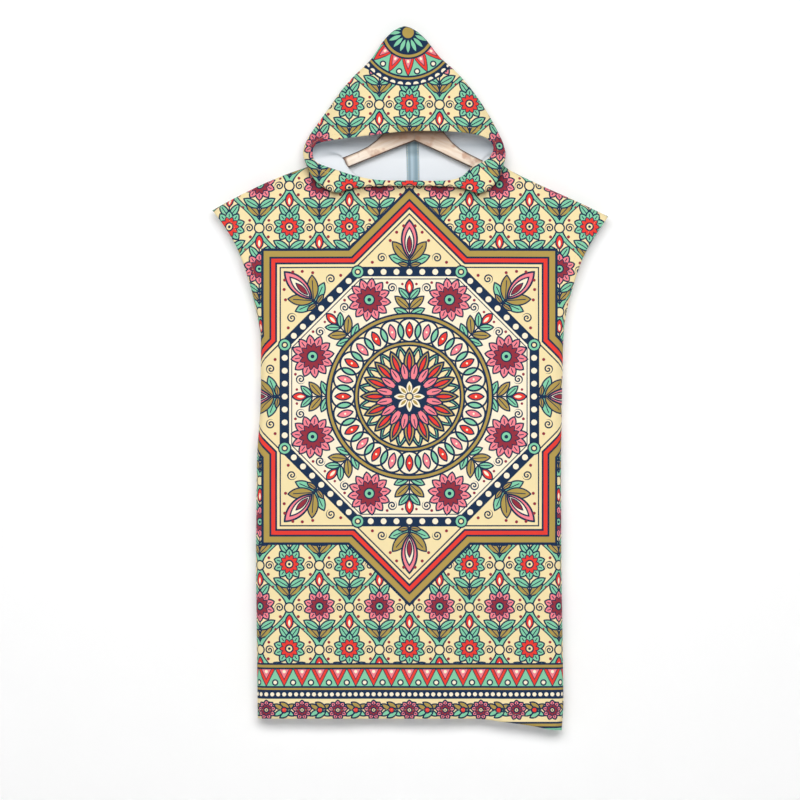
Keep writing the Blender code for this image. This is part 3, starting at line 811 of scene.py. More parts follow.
def most(a, b):
    """The larger of two values, which keeps what two shapes share."""
    return a.maths("MAXIMUM", b)


def distance(x, y):
    """How far a point lies from the middle."""
    return (x * x + y * y).maths("SQRT")


def repeat(value, period):
    """The value folded into one period, from -period/2 to period/2."""
    return value.maths("WRAP", period / 2, -period / 2)


def band(value, low, high):
    """Below zero where the value lies between the two limits."""
    return abs(value - (low + high) / 2) - (high - low) / 2


print("a stripe is a value between two limits, and a ring is the same of a distance")


# %% Outlines of simple shapes, as distances that are below zero inside
def disc(x, y, radius):
    """A round shape."""
    return distance(x, y) - radius


def leaf(x, y, half_length, half_width):
    """A pointed oval along y."""
    radius = (half_length**2 + half_width**2) / (2 * half_width)
    return distance(abs(x) + (radius - half_width), y) - radius


def turned(x, y, angle):
    """The same place after a turn of the axes."""
    c, s = math.cos(angle), math.sin(angle)
    return x * c + y * s, y * c - x * s


print("a point 5 mm up, turned a quarter:", [round(n, 1) for n in turned(0.0, 5.0, math.pi / 2)])

# %% [markdown]
# ## The colours of the print
#
# Towelling is printed in flat inks with a dark outline. An image would be the usual way, but it has one
# resolution and belongs to a file. Here each motif is a distance that a shader works out, so its edge is
# sharp at any size. `Print` paints shape over shape, as a screen printer does ink by ink.


# %% Inks and lines
def linear(red, green, blue):
    """A colour given as it looks on a screen, from 0 to 255, as light."""
    shown = (red / 255, green / 255, blue / 255)
    return (*(c / 12.92 if c <= 0.04045 else ((c + 0.055) / 1.055) ** 2.4 for c in shown), 1.0)


CREAM = linear(247, 228, 176)
IVORY = linear(253, 241, 214)
CORAL = linear(236, 60, 48)
PINK = linear(246, 134, 146)
MINT = linear(134, 208, 170)
OLIVE = linear(180, 154, 78)
NAVY = linear(10, 42, 76)
MAROON = linear(150, 44, 60)
LINE = 2.9  # widths of the outlines, in millimetres
THIN = 2.2
VEIN = 1.5
print("cream as light:", [round(part, 2) for part in CREAM[:3]])


# %% Painting shape over shape
class Print:
    """A printed colour that is painted over, shape by shape."""

    def __init__(self, nodes, ground):
        self.nodes = nodes
        self.colour = ground

    def over(self, amount, colour):
        inputs = {0: amount, 6: self.colour, 7: colour}
        self.colour = self.nodes.node("ShaderNodeMix", {"data_type": "RGBA"}, inputs, 2)

    def fill(self, shape, colour):
        self.over(shape.maths("LESS_THAN", 0.0), colour)

    def line(self, shape, colour, width):
        self.over(shape.maths("COMPARE", 0.0, width / 2), colour)

    def shape(self, shape, colour, width=THIN):
        """A filled shape with a dark outline."""
        self.fill(shape, colour)
        self.line(shape, NAVY, width)


def either(nodes, amount, colour, other):
    """The first colour where the amount is 0, and the other where it is 1."""
    both = Print(nodes, colour)
    both.over(amount, other)
    return both.colour


print("a shape's outline is", THIN, "mm wide unless it says otherwise")

# %% [markdown]
# ## Motifs
#
# A ring of sixteen petals is one petal, folded: the angle round the middle is wrapped into one sector and
# mirrored about it, so sixteen petals cost no more nodes than one. Sprigs, curls and daisies are drawn once
# and used in every part of the design.

# %% Folding a motif round a point
def polar(x, z):
    """How far out a point lies, and its angle from straight down."""
    return distance(x, z), x.maths("ARCTAN2", -z)


def sector(r, angle, count, half_step=False):
    """Sideways and outward places within one of so many equal sectors, mirrored about its middle."""
    step = 2 * math.pi / count
    at = abs(repeat(angle + step / 2 if half_step else angle, step))
    return r * at.maths("SINE"), r * at.maths("COSINE")


def ray(across, out, start, stop, width):
    """A straight stroke along a sector's middle, below zero inside."""
    return most(across - width / 2, band(out, start, stop))


print("one of 16 petals fills a sector of", 360 / 16, "degrees")


# %% Leaves, buds and dots from tables
LEAF_SLIM = 0.42  # half a leaf's width, as a share of half its length
LEAF_VEIN = 1.6  # the length of its vein, as a share of the same
Sprig = namedtuple("Sprig", "height lean reach colour")
Petal = namedtuple("Petal", "out half_length half_width colour outline")
Dot = namedtuple("Dot", "across out radius")


def add_sprigs(sheet, across, out, rows):
    """Veined leaves that lean away from the middle line, each from a point at its height on it."""
    for row in rows:
        x, y = turned(across, out - row.height, -row.lean)
        sheet.shape(leaf(x, y - row.reach, row.reach, row.reach * LEAF_SLIM), row.colour)
        sheet.fill(ray(abs(x), y, 0.0, row.reach * LEAF_VEIN, VEIN), NAVY)


def add_petals(sheet, across, out, rows):
    """Pointed ovals along the middle line, each over the last."""
    for row in rows:
        oval = leaf(across, out - row.out, row.half_length, row.half_width)
        sheet.shape(oval, row.colour, row.outline)


def add_dots(sheet, across, out, rows):
    """Small round seeds."""
    for row in rows:
        sheet.fill(disc(across - row.across, out - row.out, row.radius), MAROON)


print("a leaf 20 mm long is", round(20 * LEAF_SLIM, 1), "mm wide")


# %% Curls and daisies
def curl(sheet, x, z, size, pitch):
    """A spiral line."""
    r, angle = polar(x, z)
    path = repeat(r - angle * (pitch / (2 * math.pi)), pitch)
    sheet.fill(most(r - size, abs(path) - THIN / 2), NAVY)


def daisy(sheet, x, z, size, petals, outer, inner, heart):
    """A round flower with two rows of petals. Its parts are shares of its size."""
    r, angle = polar(x, z)
    across, out = sector(r, angle, petals)
    width = size * math.sin(math.pi / petals) * 0.78
    sheet.shape(leaf(across, out - size * 0.62, size * 0.4, width), outer)
    sheet.fill(ray(across, out, size * 0.6, size * 0.84, VEIN), NAVY)
    across, out = sector(r, angle, petals, True)
    sheet.shape(leaf(across, out - size * 0.38, size * 0.26, width * 0.62), inner, VEIN)
    sheet.shape(r - size * 0.24, heart)
    sheet.fill(r - size * 0.09, NAVY)


print("a petal's vein is", VEIN, "mm wide")

# %% [markdown]
# ## The design
#
# The body carries an eight-pointed star. Inside it lie an octagon of beads, daisies with sprigs between
# them, a chain of circles and a dahlia. Round it runs a trellis of ribbons and daisies, and along the hem
# go straight rows. It is a folk design in the manner of block-printed cloth. Lengths are millimetres on the
# flat cut.

# %% The star
PRINT_X = -1.0  # the star's middle on the cut
STAR_Z = -496.0
STAR_BANDS = (
    (232, NAVY), (228, OLIVE), (219, NAVY), (216, CORAL),
    (210, NAVY), (207, CREAM), (203, NAVY), (201, CREAM),
)
STAR_SPRIGS = rows_of(
    Sprig,
    (208.0, 1.2, 17.0, MINT), (212.0, 0.72, 20.0, OLIVE), (205.0, 1.4, 9.0, OLIVE),
)
STAR_BUD = rows_of(
    Petal,
    (246.0, 30.0, 12.0, PINK, LINE), (242.0, 22.0, 7.0, IVORY, THIN), (238.0, 13.0, 3.8, MAROON, VEIN),
)
STAR_DOTS = rows_of(
    Dot,
    (9.0, 267.0, 2.4), (20.0, 257.0, 2.4), (30.0, 244.0, 2.4), (58.0, 210.0, 2.4),
)


def paint_star(sheet, x, z, r, angle):
    """Two crossed squares, with a bud in each of their eight points."""
    u, v = turned(x, z, math.pi / 4)
    star = least(most(abs(x), abs(z)), most(abs(u), abs(v)))
    for size, colour in STAR_BANDS:
        sheet.fill(star - size, colour)
    across, out = sector(r, angle, 8)
    add_sprigs(sheet, across, out, STAR_SPRIGS)
    curl(sheet, across - 43.0, out - 217.0, 7.5, 4.6)
    add_petals(sheet, across, out, STAR_BUD)
    add_dots(sheet, across, out, STAR_DOTS)


print("star:", round(2 * STAR_BANDS[0][0] * math.sqrt(2)), "mm from point to point")

# %% The octagon
OCTAGON = 195.0  # from the middle to the line of beads
BEADS_A_SIDE = 8
OCTAGON_SPRIGS = rows_of(
    Sprig,
    (127.0, 1.15, 13.0, MINT), (137.0, 0.85, 15.0, OLIVE), (152.0, 0.75, 12.0, MINT),
)
CORNER = OCTAGON / math.cos(math.pi / 8)  # from the middle to the octagon's corners


def paint_octagon(sheet, r, angle):
    """Beads along eight straight sides with a boss at each corner, round daisies and sprigs."""
    across, out = sector(r, angle, 8)
    side = 2 * OCTAGON * math.tan(math.pi / 8)
    sheet.fill(out - (OCTAGON + 8.0), NAVY)
    sheet.fill(disc(repeat(across, side / BEADS_A_SIDE), out - OCTAGON, 4.6), IVORY)
    sheet.fill(out - (OCTAGON - 7.0), IVORY)
    sheet.line(out - (OCTAGON - 11.0), NAVY, VEIN)
    sheet.fill(ray(across, out, 130.0, 176.0, THIN), NAVY)
    add_sprigs(sheet, across, out, OCTAGON_SPRIGS)
    curl(sheet, across - 27.0, out - 170.0, 7.5, 4.4)
    sheet.shape(leaf(across, out - 172.0, 11.0, 6.0), CORAL)
    sheet.fill(leaf(across, out - 170.0, 6.0, 2.2), IVORY)
    sheet.fill(disc(across - 11.0, out - 176.0, 2.0), MAROON)
    across, out = sector(r, angle, 8, True)
    daisy(sheet, across, out - 164.0, 33.0, 12, PINK, MAROON, MINT)
    sheet.fill(disc(across - 36.0, out - 178.0, 2.2), MAROON)
    sheet.shape(disc(across, out - CORNER, 9.5), MINT)
    sheet.shape(disc(across, out - CORNER, 4.0), CREAM)


print("octagon:", 8 * BEADS_A_SIDE, "beads")

# %% The chain of circles
CHAIN = 104.0  # from the middle to the circles' own middles


def paint_circles(sheet, r, angle):
    """A chain of overlapping circles between two plain rings."""
    sheet.shape(r - 130.0, OLIVE, LINE)
    sheet.shape(r - 123.0, CREAM, LINE)
    first = sector(r, angle, 12)
    second = sector(r, angle, 12, True)
    circles = [disc(across, out - CHAIN, 18.0) for across, out in (first, second)]
    for circle in circles:
        sheet.fill(circle, IVORY)
    sheet.fill(most(*circles), MINT)
    for circle in circles:
        sheet.line(circle, NAVY, LINE)
    for (across, out), colour in ((first, CORAL), (second, PINK)):
        sheet.shape(leaf(across, out - CHAIN, 12.5, 5.4), colour)
        sheet.fill(disc(across, out - CHAIN, 1.6), IVORY)
    sheet.shape(r - 86.0, OLIVE, LINE)
    sheet.shape(r - 80.0, CREAM, LINE)


print("circles:", 2 * 12, "with their middles", CHAIN, "mm out")


# %% The dahlia
PETALS = 16
OUTER_PETALS = rows_of(Petal, (56.0, 24.0, 9.2, MINT, LINE), (59.0, 16.0, 4.6, CREAM, THIN))
MIDDLE_PETALS = rows_of(Petal, (52.0, 24.0, 8.4, OLIVE, LINE), (54.0, 15.0, 3.6, CORAL, THIN))
INNER_PETALS = rows_of(Petal, (38.0, 15.0, 5.8, PINK, THIN))
HEART_PETALS = rows_of(Petal, (14.0, 11.5, 5.4, IVORY, THIN))


def paint_dahlia(sheet, r, angle):
    """Three rows of petals round a small star."""
    across, out = sector(r, angle, PETALS, True)
    add_petals(sheet, across, out, OUTER_PETALS)
    across, out = sector(r, angle, PETALS)
    add_petals(sheet, across, out, MIDDLE_PETALS)
    across, out = sector(r, angle, PETALS, True)
    add_petals(sheet, across, out, INNER_PETALS)
    sheet.fill(ray(across, out, 36.0, 48.0, VEIN), NAVY)
    sheet.shape(r - 27.0, NAVY)
    across, out = sector(r, angle, 8)
    add_petals(sheet, across, out, HEART_PETALS)
    sheet.fill(leaf(across, out - 13.0, 6.0, 2.0), OLIVE)
    sheet.shape(r - 5.5, CREAM)


print("dahlia:", 3 * PETALS, "petals round a star of 8")

# %% The trellis
CELL_WIDE = 94.0
CELL_HIGH = 132.0
RIBBON = 3.0  # half its width,
RIBBON_LINE = 2.6  # and the width of its outline
KNOT = 7.5
TRELLIS_SPRIGS = rows_of(
    Sprig,
    (-48.0, 0.75, 15.0, OLIVE), (-34.0, 1.05, 14.0, MINT), (16.0, 0.62, 13.0, MINT),
)
TRELLIS_DOTS = rows_of(
    Dot,
    (12.0, 46.0, 2.4), (32.0, 12.0, 2.2), (22.0, 33.0, 2.0), (33.0, -14.0, 2.4), (8.0, -56.0, 2.0),
)


def cell_of(x, z, shift):
    """A point's place in the nearest cell of one half of the trellis."""
    return repeat(x - CELL_WIDE * shift, CELL_WIDE), repeat(z - CELL_HIGH * shift, CELL_HIGH)


def paint_trellis(sheet, x, z):
    """Waving ribbons that meet and part, with a daisy on its stalk in every cell."""
    here, beside = cell_of(x, z, 0.0), cell_of(x, z, 0.5)
    wave = (z * (2 * math.pi / CELL_HIGH)).maths("COSINE")
    edge = abs(here[0]) - (wave + 1.0) * (CELL_WIDE / 4)
    inner = edge.maths("LESS_THAN", 0.0)
    sheet.fill(abs(edge) - (RIBBON + RIBBON_LINE), NAVY)
    sheet.fill(abs(edge) - RIBBON, MINT)
    x, z = (b + inner * (a - b) for a, b in zip(here, beside))
    side = abs(x)
    sheet.fill(ray(side, z, -52.0, 46.0, THIN), NAVY)
    add_sprigs(sheet, side, z, TRELLIS_SPRIGS)
    sheet.shape(leaf(x, z - 44.0, 11.0, 5.8), CORAL)
    sheet.fill(leaf(x, z - 42.0, 5.5, 2.0), IVORY)
    add_dots(sheet, side, z, TRELLIS_DOTS)
    curl(sheet, side - 31.0, z, 7.0, 4.2)
    inks = [either(sheet.nodes, inner, *pair) for pair in ((PINK, MINT), (MAROON, CORAL), (MINT, CREAM))]
    daisy(sheet, x, z - 2.0, 24.0, 10, *inks)
    knot = disc(*cell_of(here[0] - CELL_WIDE / 2, here[1], 0.0), KNOT)
    sheet.shape(least(knot, disc(here[0], abs(here[1]) - CELL_HIGH / 2, KNOT)), CREAM)


print("trellis cell:", CELL_WIDE, "by", CELL_HIGH, "mm")

# %% Rows for the hem and for the hood's point
ROW_STEP = 28.0
FLOWERS = 72.0  # the last row's flowers stand this far down
ROW_BANDS = ((0, 7, OLIVE), (36, 42, OLIVE), (42, 53, NAVY), (92, 99, OLIVE), (99, 110, MINT))


def paint_rows(sheet, across, down):
    """Triangles, beads, daisies and leaves, in rows one under the other."""
    side = abs(repeat(across, ROW_STEP))
    tooth = side * 2.0 + down - (ROW_STEP + 7.0)
    sheet.fill(band(down, 0.0, 40.0), MINT)
    sheet.shape(tooth, CORAL, LINE)
    sheet.shape(tooth + 11.0, PINK)
    sheet.fill(disc(side, down - 12.0, 2.6), IVORY)
    beside = abs(repeat(across - ROW_STEP / 2, ROW_STEP))
    sheet.shape(disc(beside, down - 29.0, 4.0), IVORY)
    for low, high, colour in ROW_BANDS:
        sheet.shape(band(down, low, high), colour, LINE)
    sheet.fill(disc(repeat(across, ROW_STEP / 3), down - 47.5, 3.2), IVORY)
    for shift, start in ((0.0, 6.0), (0.5, 12.0)):
        stalk = abs(repeat(across - ROW_STEP * (1.0 + shift), ROW_STEP * 2))
        for rise in (-1.0, 1.0):
            x, y = turned(stalk, (down - FLOWERS) * rise, -1.05)
            blade = leaf(x, y - start - 3.0, 9.0, 3.8)
            sheet.shape(blade, MINT if rise > 0 else OLIVE)
    daisy(sheet, repeat(across, ROW_STEP * 2), down - FLOWERS, 15.0, 9, PINK, MAROON, CREAM)
    sheet.shape(disc(repeat(across - ROW_STEP, ROW_STEP * 2), down - FLOWERS, 4.4), CORAL)


print("rows repeat every", 2 * ROW_STEP, "mm")

# %% Where each part of the design goes
ROWS_Z = -914.0  # the rows run from here down to the hem
PEAK_X = -3.0  # the middle of the rings at the hood's point
PEAK_Z = 74.0
PEAK_ROUND = 14  # steps of the rows round the hood's point
PEAK_FLOWER = 34.0  # how far out the flower in their middle reaches
PEAK_PETALS = 16
PEAK_RINGS = 84.0  # and the last ring
SHADE = linear(120, 104, 92)  # what the print's colour is multiplied by in full shade
SHADE_DEPTH = 0.8


def towelling_colour(nodes):
    """The print's colour, from the flat cut that is kept as the mesh's own coordinates."""
    across, up, _ = nodes.node("ShaderNodeUVMap", {"uv_map": "cut"}).parts()
    x, z = across * 1000.0 - PRINT_X, up * 1000.0
    sheet = Print(nodes, CREAM)
    paint_trellis(sheet, x, z - STAR_Z)

    # the rows along the hem
    rows = Print(nodes, CREAM)
    paint_rows(rows, x, ROWS_Z - z)
    sheet.over(z.maths("LESS_THAN", ROWS_Z), rows.colour)
    sheet.line(z - ROWS_Z, NAVY, LINE)

    # the star on the body
    medal = Print(nodes, sheet.colour)
    r, angle = polar(x, z - STAR_Z)
    paint_star(medal, x, z - STAR_Z, r, angle)
    paint_octagon(medal, r, angle)
    paint_circles(medal, r, angle)
    paint_dahlia(medal, r, angle)
    on_hood = z.maths("GREATER_THAN", HOOD_LAY / 2)
    sheet.over(1.0 - on_hood, medal.colour)

    # the same rows in rings round a flower at the hood's point
    r, angle = polar(x + PRINT_X - PEAK_X, z - HOOD_LAY - PEAK_Z)
    rings = Print(nodes, IVORY)
    paint_rows(rings, angle * (PEAK_ROUND * ROW_STEP / (2 * math.pi)), r - PEAK_FLOWER)
    across, out = sector(r, angle, PEAK_PETALS)
    rings.shape(r - PEAK_FLOWER, NAVY)
    rings.shape(leaf(across, out - 22.0, 12.0, 4.0), MINT)
    rings.fill(r - 9.0, OLIVE)
    rings.line(r - PEAK_RINGS, NAVY, LINE)
    sheet.over(on_hood * r.maths("LESS_THAN", PEAK_RINGS + LINE / 2), rings.colour)

    # the soft shade that the hood's rolled base throws on the front
    shade = nodes.node("ShaderNodeAttribute", {"attribute_name": "shade"}, output="Fac")
    darker = {0: shade * SHADE_DEPTH, 6: sheet.colour, 7: SHADE}
    return nodes.node("ShaderNodeMix", {"data_type": "RGBA", "blend_type": "MULTIPLY"}, darker, 2)


print("rows start at", ROWS_Z, "mm, rings reach", PEAK_RINGS, "mm from the hood's point")

# %% [markdown]
# ## Cloth and tape
#
# Towelling has no gloss. It is rough all over, with a faint sheen where fibres stand up and a fine nap,
# which is a noise fed to a Bump node: real loops would be millions of triangles. The inside is plain white,
# with painted shade that makes it a little greyer up in the hood and painted light that brightens it again
# near the top. The tape over the hood's seam is woven in blue-grey bands, with painted shade where it lies
# behind the hanger.


# %% A material and its nap
def new_material(name, roughness, metallic=0.0, sheen=0.0):
    """A material, its nodes and its shader."""
    made = bpy.data.materials.new(name)
    made.use_nodes = True
    shader = made.node_tree.nodes["Principled BSDF"]
    shader.inputs["Roughness"].default_value = roughness
    shader.inputs["Metallic"].default_value = metallic
    shader.inputs["Sheen Weight"].default_value = sheen
    shader.inputs["Sheen Roughness"].default_value = 0.5
    return made, Nodes(made.node_tree), shader


def noise_at(nodes, place, scale, detail=2.0):
    """Soft noise from 0 to 1."""
    return nodes.node("ShaderNodeTexNoise", inputs={"Vector": place, "Scale": scale, "Detail": detail})


def pile(nodes, shader, scale, strength, height):
    """A fine uneven nap, as a bump."""
    place = nodes.node("ShaderNodeTexCoord", output="Object")
    nap = noise_at(nodes, place, scale)
    bump = nodes.node("ShaderNodeBump", inputs={"Height": nap, "Strength": strength, "Distance": height})
    nodes.feed(bump, shader.inputs["Normal"])


print("a nap of scale 700 has grains about", round(1000 / 700, 1), "mm apart")


# %% The print and the plain inside
def printed_towelling():
    """The outside of the cloth."""
    made, nodes, shader = new_material("printed_towelling", 0.95, sheen=0.02)
    nodes.feed(towelling_colour(nodes), shader.inputs["Base Color"])
    pile(nodes, shader, 700.0, 0.25, 0.0006)
    return made


INSIDE_WHITE = linear(239, 243, 247)
# painted shade and painted light that stand in for the light inside the hood
INSIDE_PAINTED_SHADE = linear(194, 201, 207)
INSIDE_PAINTED_LIGHT = linear(246, 249, 252)
PAINTED_SHADE_FROM = -124.0  # the height where painted shade starts to turn the inside greyer,
PAINTED_LIGHT_FROM = -100.0  # and where painted light makes it bright again further up


def plain_towelling():
    """The inside of the cloth: white, with a band of painted shade up in the hood and painted light above it.
    """
    made, nodes, shader = new_material("plain_towelling", 0.95, sheen=0.02)
    height = nodes.node("ShaderNodeTexCoord", output="Object").parts()[2] * 1000.0
    plain = Print(nodes, INSIDE_WHITE)
    # painted shade up in the hood, then painted light near its top
    plain.over(((height - PAINTED_SHADE_FROM) / 22.0).limited(0.0, 1.0), INSIDE_PAINTED_SHADE)
    plain.over(((height - PAINTED_LIGHT_FROM) / 14.0).limited(0.0, 1.0), INSIDE_PAINTED_LIGHT)
    nodes.feed(plain.colour, shader.inputs["Base Color"])
    pile(nodes, shader, 600.0, 0.3, 0.0007)
    return made


towelling = printed_towelling()
inside = plain_towelling()
print("printed towelling uses", len(towelling.node_tree.nodes), "nodes")


# %% The tape
TAPE = linear(164, 186, 197)
TAPE_SELVEDGE = linear(190, 208, 216)
TAPE_PAINTED_SHADE = linear(98, 116, 122)
SELVEDGE_FROM = 7.2  # the selvedges start this far from the tape's middle
TAPE_PAINTED_SHADE_FROM = -120.0  # above this height the tape lies behind the hanger, in painted shade
Stripe = namedtuple("Stripe", "across half_width strength colour")
STRIPES = rows_of(
    Stripe,
    (-1.5, 3.0, 1.0, linear(184, 206, 218)), (4.8, 3.6, 1.0, linear(138, 164, 177)),
    (-5.0, 1.8, 0.8, linear(140, 162, 174)),
)


def strip_tape():
    """Blue-grey bands, by how far across the strip a point lies, and painted shade behind the hanger."""
    made, nodes, shader = new_material("strip_tape", 0.9)
    across = nodes.node("ShaderNodeUVMap", {"uv_map": "cut"}).parts()[0] * 1000.0
    height = nodes.node("ShaderNodeTexCoord", output="Object").parts()[2] * 1000.0
    tape = Print(nodes, TAPE)
    for stripe in STRIPES:
        near = 1.0 - abs(across - stripe.across) / stripe.half_width
        tape.over(near.limited(0.0, stripe.strength), stripe.colour)
    tape.over(((abs(across) - SELVEDGE_FROM) / 2.4).limited(0.0, 1.0), TAPE_SELVEDGE)
    # painted shade where the tape lies behind the hanger
    tape.over(((height - TAPE_PAINTED_SHADE_FROM) / 14.0).limited(0.0, 0.5), TAPE_PAINTED_SHADE)
    nodes.feed(tape.colour, shader.inputs["Base Color"])
    pile(nodes, shader, 900.0, 0.3, 0.0004)
    return made


tape = strip_tape()
print("tape uses", len(tape.node_tree.nodes), "nodes")

# %% [markdown]
# ## Wood and steel
#
# A pale wooden hanger has long grain and a few darker blotches, with painted shade on its edges and on the
# top of the arms deep in the hood. The grain is a noise that is squeezed across the arms and stretched along
# them, on Object coordinates, so it runs on through both halves. The edges are found from the direction that
# the surface faces. A painted shadow darkens the left arm where the cloth's edge crosses it.


# %% Pale wood
WOOD = linear(250, 236, 220)
WOOD_GRAIN = linear(232, 206, 180)
WOOD_BLOTCH = linear(196, 148, 118)
WOOD_PAINTED_SHADE = linear(118, 80, 48)
WOOD_EDGE_SHADE = linear(80, 52, 36)
WOOD_CLOTH_SHADOW = linear(88, 58, 42)
ARM_SLOPE = 0.42  # an arm falls by this much for each step outwards
GRAIN_ALONG, GRAIN_THROUGH, GRAIN_ACROSS = 26.0, 160.0, 240.0  # how fine the grain is each way
BLOTCH_SCALE = 60.0
WOOD_PAINTED_SHADE_FROM = -109.0  # above this height the wood lies deep in the hood, in painted shade
CLOTH_SHADOW_X, CLOTH_SHADOW_Z = -113.5, -121.4  # where the cloth's edge crosses the left arm, and its painted shadow lies


def pale_wood():
    """Pinkish wood with long grain and blotches, and painted shade on its edges, high in the hood and by the
    cloth's edge.
    """
    made, nodes, shader = new_material("pale_wood", 0.55)
    place = nodes.node("ShaderNodeTexCoord", output="Object")
    x, y, z = place.parts()
    along = {0: x * GRAIN_ALONG, 1: y * GRAIN_THROUGH, 2: (z + abs(x) * ARM_SLOPE) * GRAIN_ACROSS}
    grain = noise_at(nodes, nodes.node("ShaderNodeCombineXYZ", inputs=along), 1.0, 3.0)
    wood = Print(nodes, WOOD)
    wood.over((grain * 3.0 - 1.1).limited(0.0, 0.8), WOOD_GRAIN)
    wood.over((noise_at(nodes, place, BLOTCH_SCALE) * 5.0 - 2.5).limited(0.0, 0.75), WOOD_BLOTCH)
    # painted shade on the arms' top, deep in the hood
    wood.over(((z * 1000.0 - WOOD_PAINTED_SHADE_FROM) / 20.0).limited(0.0, 0.85), WOOD_PAINTED_SHADE)
    _, facing, upward = nodes.node("ShaderNodeTexCoord", output="Normal").parts()

    # painted shade on the edges, by the direction they face, and on the top most of all
    edge = (1.0 - abs(facing)) * 4.0 + most(upward, 0.0) * 1.2 - 0.1
    wood.over(edge.limited(0.0, 0.95), WOOD_EDGE_SHADE)

    # a painted shadow where the cloth's edge crosses the left arm
    from_cloth = x * 1000.0 - CLOTH_SHADOW_X + (z * 1000.0 - CLOTH_SHADOW_Z) * ARM_SLOPE
    wood.over((1.2 - abs(from_cloth) / 4.0).limited(0.0, 0.85), WOOD_CLOTH_SHADOW)
    nodes.feed(wood.colour, shader.inputs["Base Color"])
    return made


wood = pale_wood()
print("wood uses", len(wood.node_tree.nodes), "nodes")


# %% Bright steel
STEEL = (0.62, 0.62, 0.63, 1.0)


def bright_steel():
    """The hook's plain bright wire."""
    made, _, shader = new_material("bright_steel", 0.25, metallic=1.0)
    shader.inputs["Base Color"].default_value = STEEL
    return made


steel = bright_steel()
print("materials:", ", ".join(made.name for made in (towelling, inside, tape, wood, steel)))

# %% [markdown]
# ## Dressing the part
#
# Each shell takes the place of its solid. The hanger's arms and hook already have their final shape as
# solids, so they only get better materials.

# %% The shells, on their solids
shells = {cloth.name: cloth_object(cloth, [towelling, inside]) for cloth in (front, back, top_hood)}
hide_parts("front_panel")
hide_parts("back_panel")
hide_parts("hood")
for name, shell in shells.items():
    print(name + ":", len(shell.data.polygons), "faces before its wall")

# %% The hanger keeps its solids and gets better materials
for name, material in (("hanger_arm_left", wood), ("hanger_arm_right", wood), ("hanger_hook", steel)):
    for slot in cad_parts[name].material_slots:
        slot.material = material
    print(name, "is", material.name)

# %% [markdown]
# ## The seam strip
#
# A tape covers the hood's back seam on the inside and shows through the face opening. It could be a flat
# ribbon, but it has to follow the hood's bend, so its points are the hood's own, moved inwards by the
# cloth's thickness.

# %% The strip
STRIP_HALF = 10.0  # half its width
STRIP_THICK = 1.0
STRIP_LIFT = 0.35  # its gap to the hood's inner face
STRIP_STEPS = 5
STRIP_REACH = 12  # columns of the hood's points looked at to each side of its seam


def seam_strip():
    """Points up the hood's back seam and across the strip, moved in from the hood's own."""
    middle = int(np.argmin(abs(hood_turns - 180)))
    rows = np.flatnonzero(hood_rows <= HOOD_ROWS_IN - 2)
    columns = slice(middle - STRIP_REACH, middle + STRIP_REACH + 1)
    at = np.linspace(-STRIP_HALF, STRIP_HALF, 2 * STRIP_STEPS + 1)
    points, normals, cut = [], [], []
    for r in rows:
        line, out = top_hood.points[r, columns], top_hood.normals[r, columns]
        run = run_along(line, 0)
        run = run - run[STRIP_REACH]
        here = np.stack([np.interp(at, run, line[:, k]) for k in range(3)], axis=-1)
        away = np.stack([np.interp(at, run, out[:, k]) for k in range(3)], axis=-1)
        away /= np.linalg.norm(away, axis=-1, keepdims=True)
        points.append(here - away * (CLOTH + STRIP_LIFT))
        normals.append(away)
        cut.append(np.stack([at, np.full_like(at, -r * GRAIN / 2)], axis=-1))
    shade = np.zeros((len(points), len(at)))
    return Cloth("seam_strip", np.array(points), np.array(normals), np.array(cut), False, shade)


strip_cloth = seam_strip()
strip = cloth_object(strip_cloth, [tape], STRIP_THICK)
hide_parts("hood_seam_strip")
print("strip:", len(strip_cloth.points), "rows")

# %% [markdown]
# ## Stitches
#
# Hem, armholes, face opening and strip are each held by a line of stitches at a fixed distance from the
# edge. The same thread repeats hundreds of times along a path, which is a job for Geometry Nodes: the paths
# become curves, points are set along them at equal steps, and a small stretched ball turns with each. The
# tree ends in Realize Instances and Set Material, because the export drops instances.

# %% Lines at a fixed distance from an edge
THREAD_LIFT = 0.1  # the thread's middle lies this far above the cloth


def line_inside(cloth, from_edge, axis, backwards, share=1.0):
    """A path that keeps this distance from an edge of a cloth, measured along the cloth.

    axis 0 measures down the columns and axis 1 along the rows. share is how much of the path is kept."""
    points, normals = cloth.points, cloth.normals
    if axis == 1:
        points, normals = points.swapaxes(0, 1), normals.swapaxes(0, 1)
    if backwards:
        points, normals = points[::-1], normals[::-1]
    run = run_along(points, 0)
    count = points.shape[1]
    path = []
    for c in range(math.ceil(count * share)):
        here = np.array([np.interp(from_edge, run[:, c], points[:, c, k]) for k in range(3)])
        away = np.array([np.interp(from_edge, run[:, c], normals[:, c, k]) for k in range(3)])
        path.append(here + away / np.linalg.norm(away) * THREAD_LIFT)
    return path


def armhole_share(cloth):
    """How far down the cloth's edge the armhole runs, as a share of its rows."""
    return float((cloth.points[:, 0, 2] > ARMPIT_Z - GRAIN).mean())


print("armhole:", round(100 * armhole_share(front)), "% of the front's rows")

# %% Paths for the stitches
HEM_STITCH = 14.0  # distances from the edge
ARM_STITCH = 12.0
FACE_STITCH = 9.0
STRIP_STITCH = 1.6

paths = []
for cloth in (front, back):
    paths.append(line_inside(cloth, HEM_STITCH, 0, True))
    paths.append(line_inside(cloth, ARM_STITCH, 1, False, armhole_share(cloth)))
    paths.append(line_inside(cloth, ARM_STITCH, 1, True, armhole_share(cloth)))
face_path = line_inside(top_hood, FACE_STITCH, 0, True)
paths.append(face_path + face_path[:1])
for edge in (STRIP_STITCH, 2 * STRIP_HALF - STRIP_STITCH):
    line = line_inside(strip_cloth, edge, 1, False)
    inner = strip_cloth.normals.mean(axis=1)
    lift = STRIP_THICK + 2 * THREAD_LIFT
    paths.append([p - n / np.linalg.norm(n) * lift for p, n in zip(line, inner)])
print("stitched paths:", len(paths))


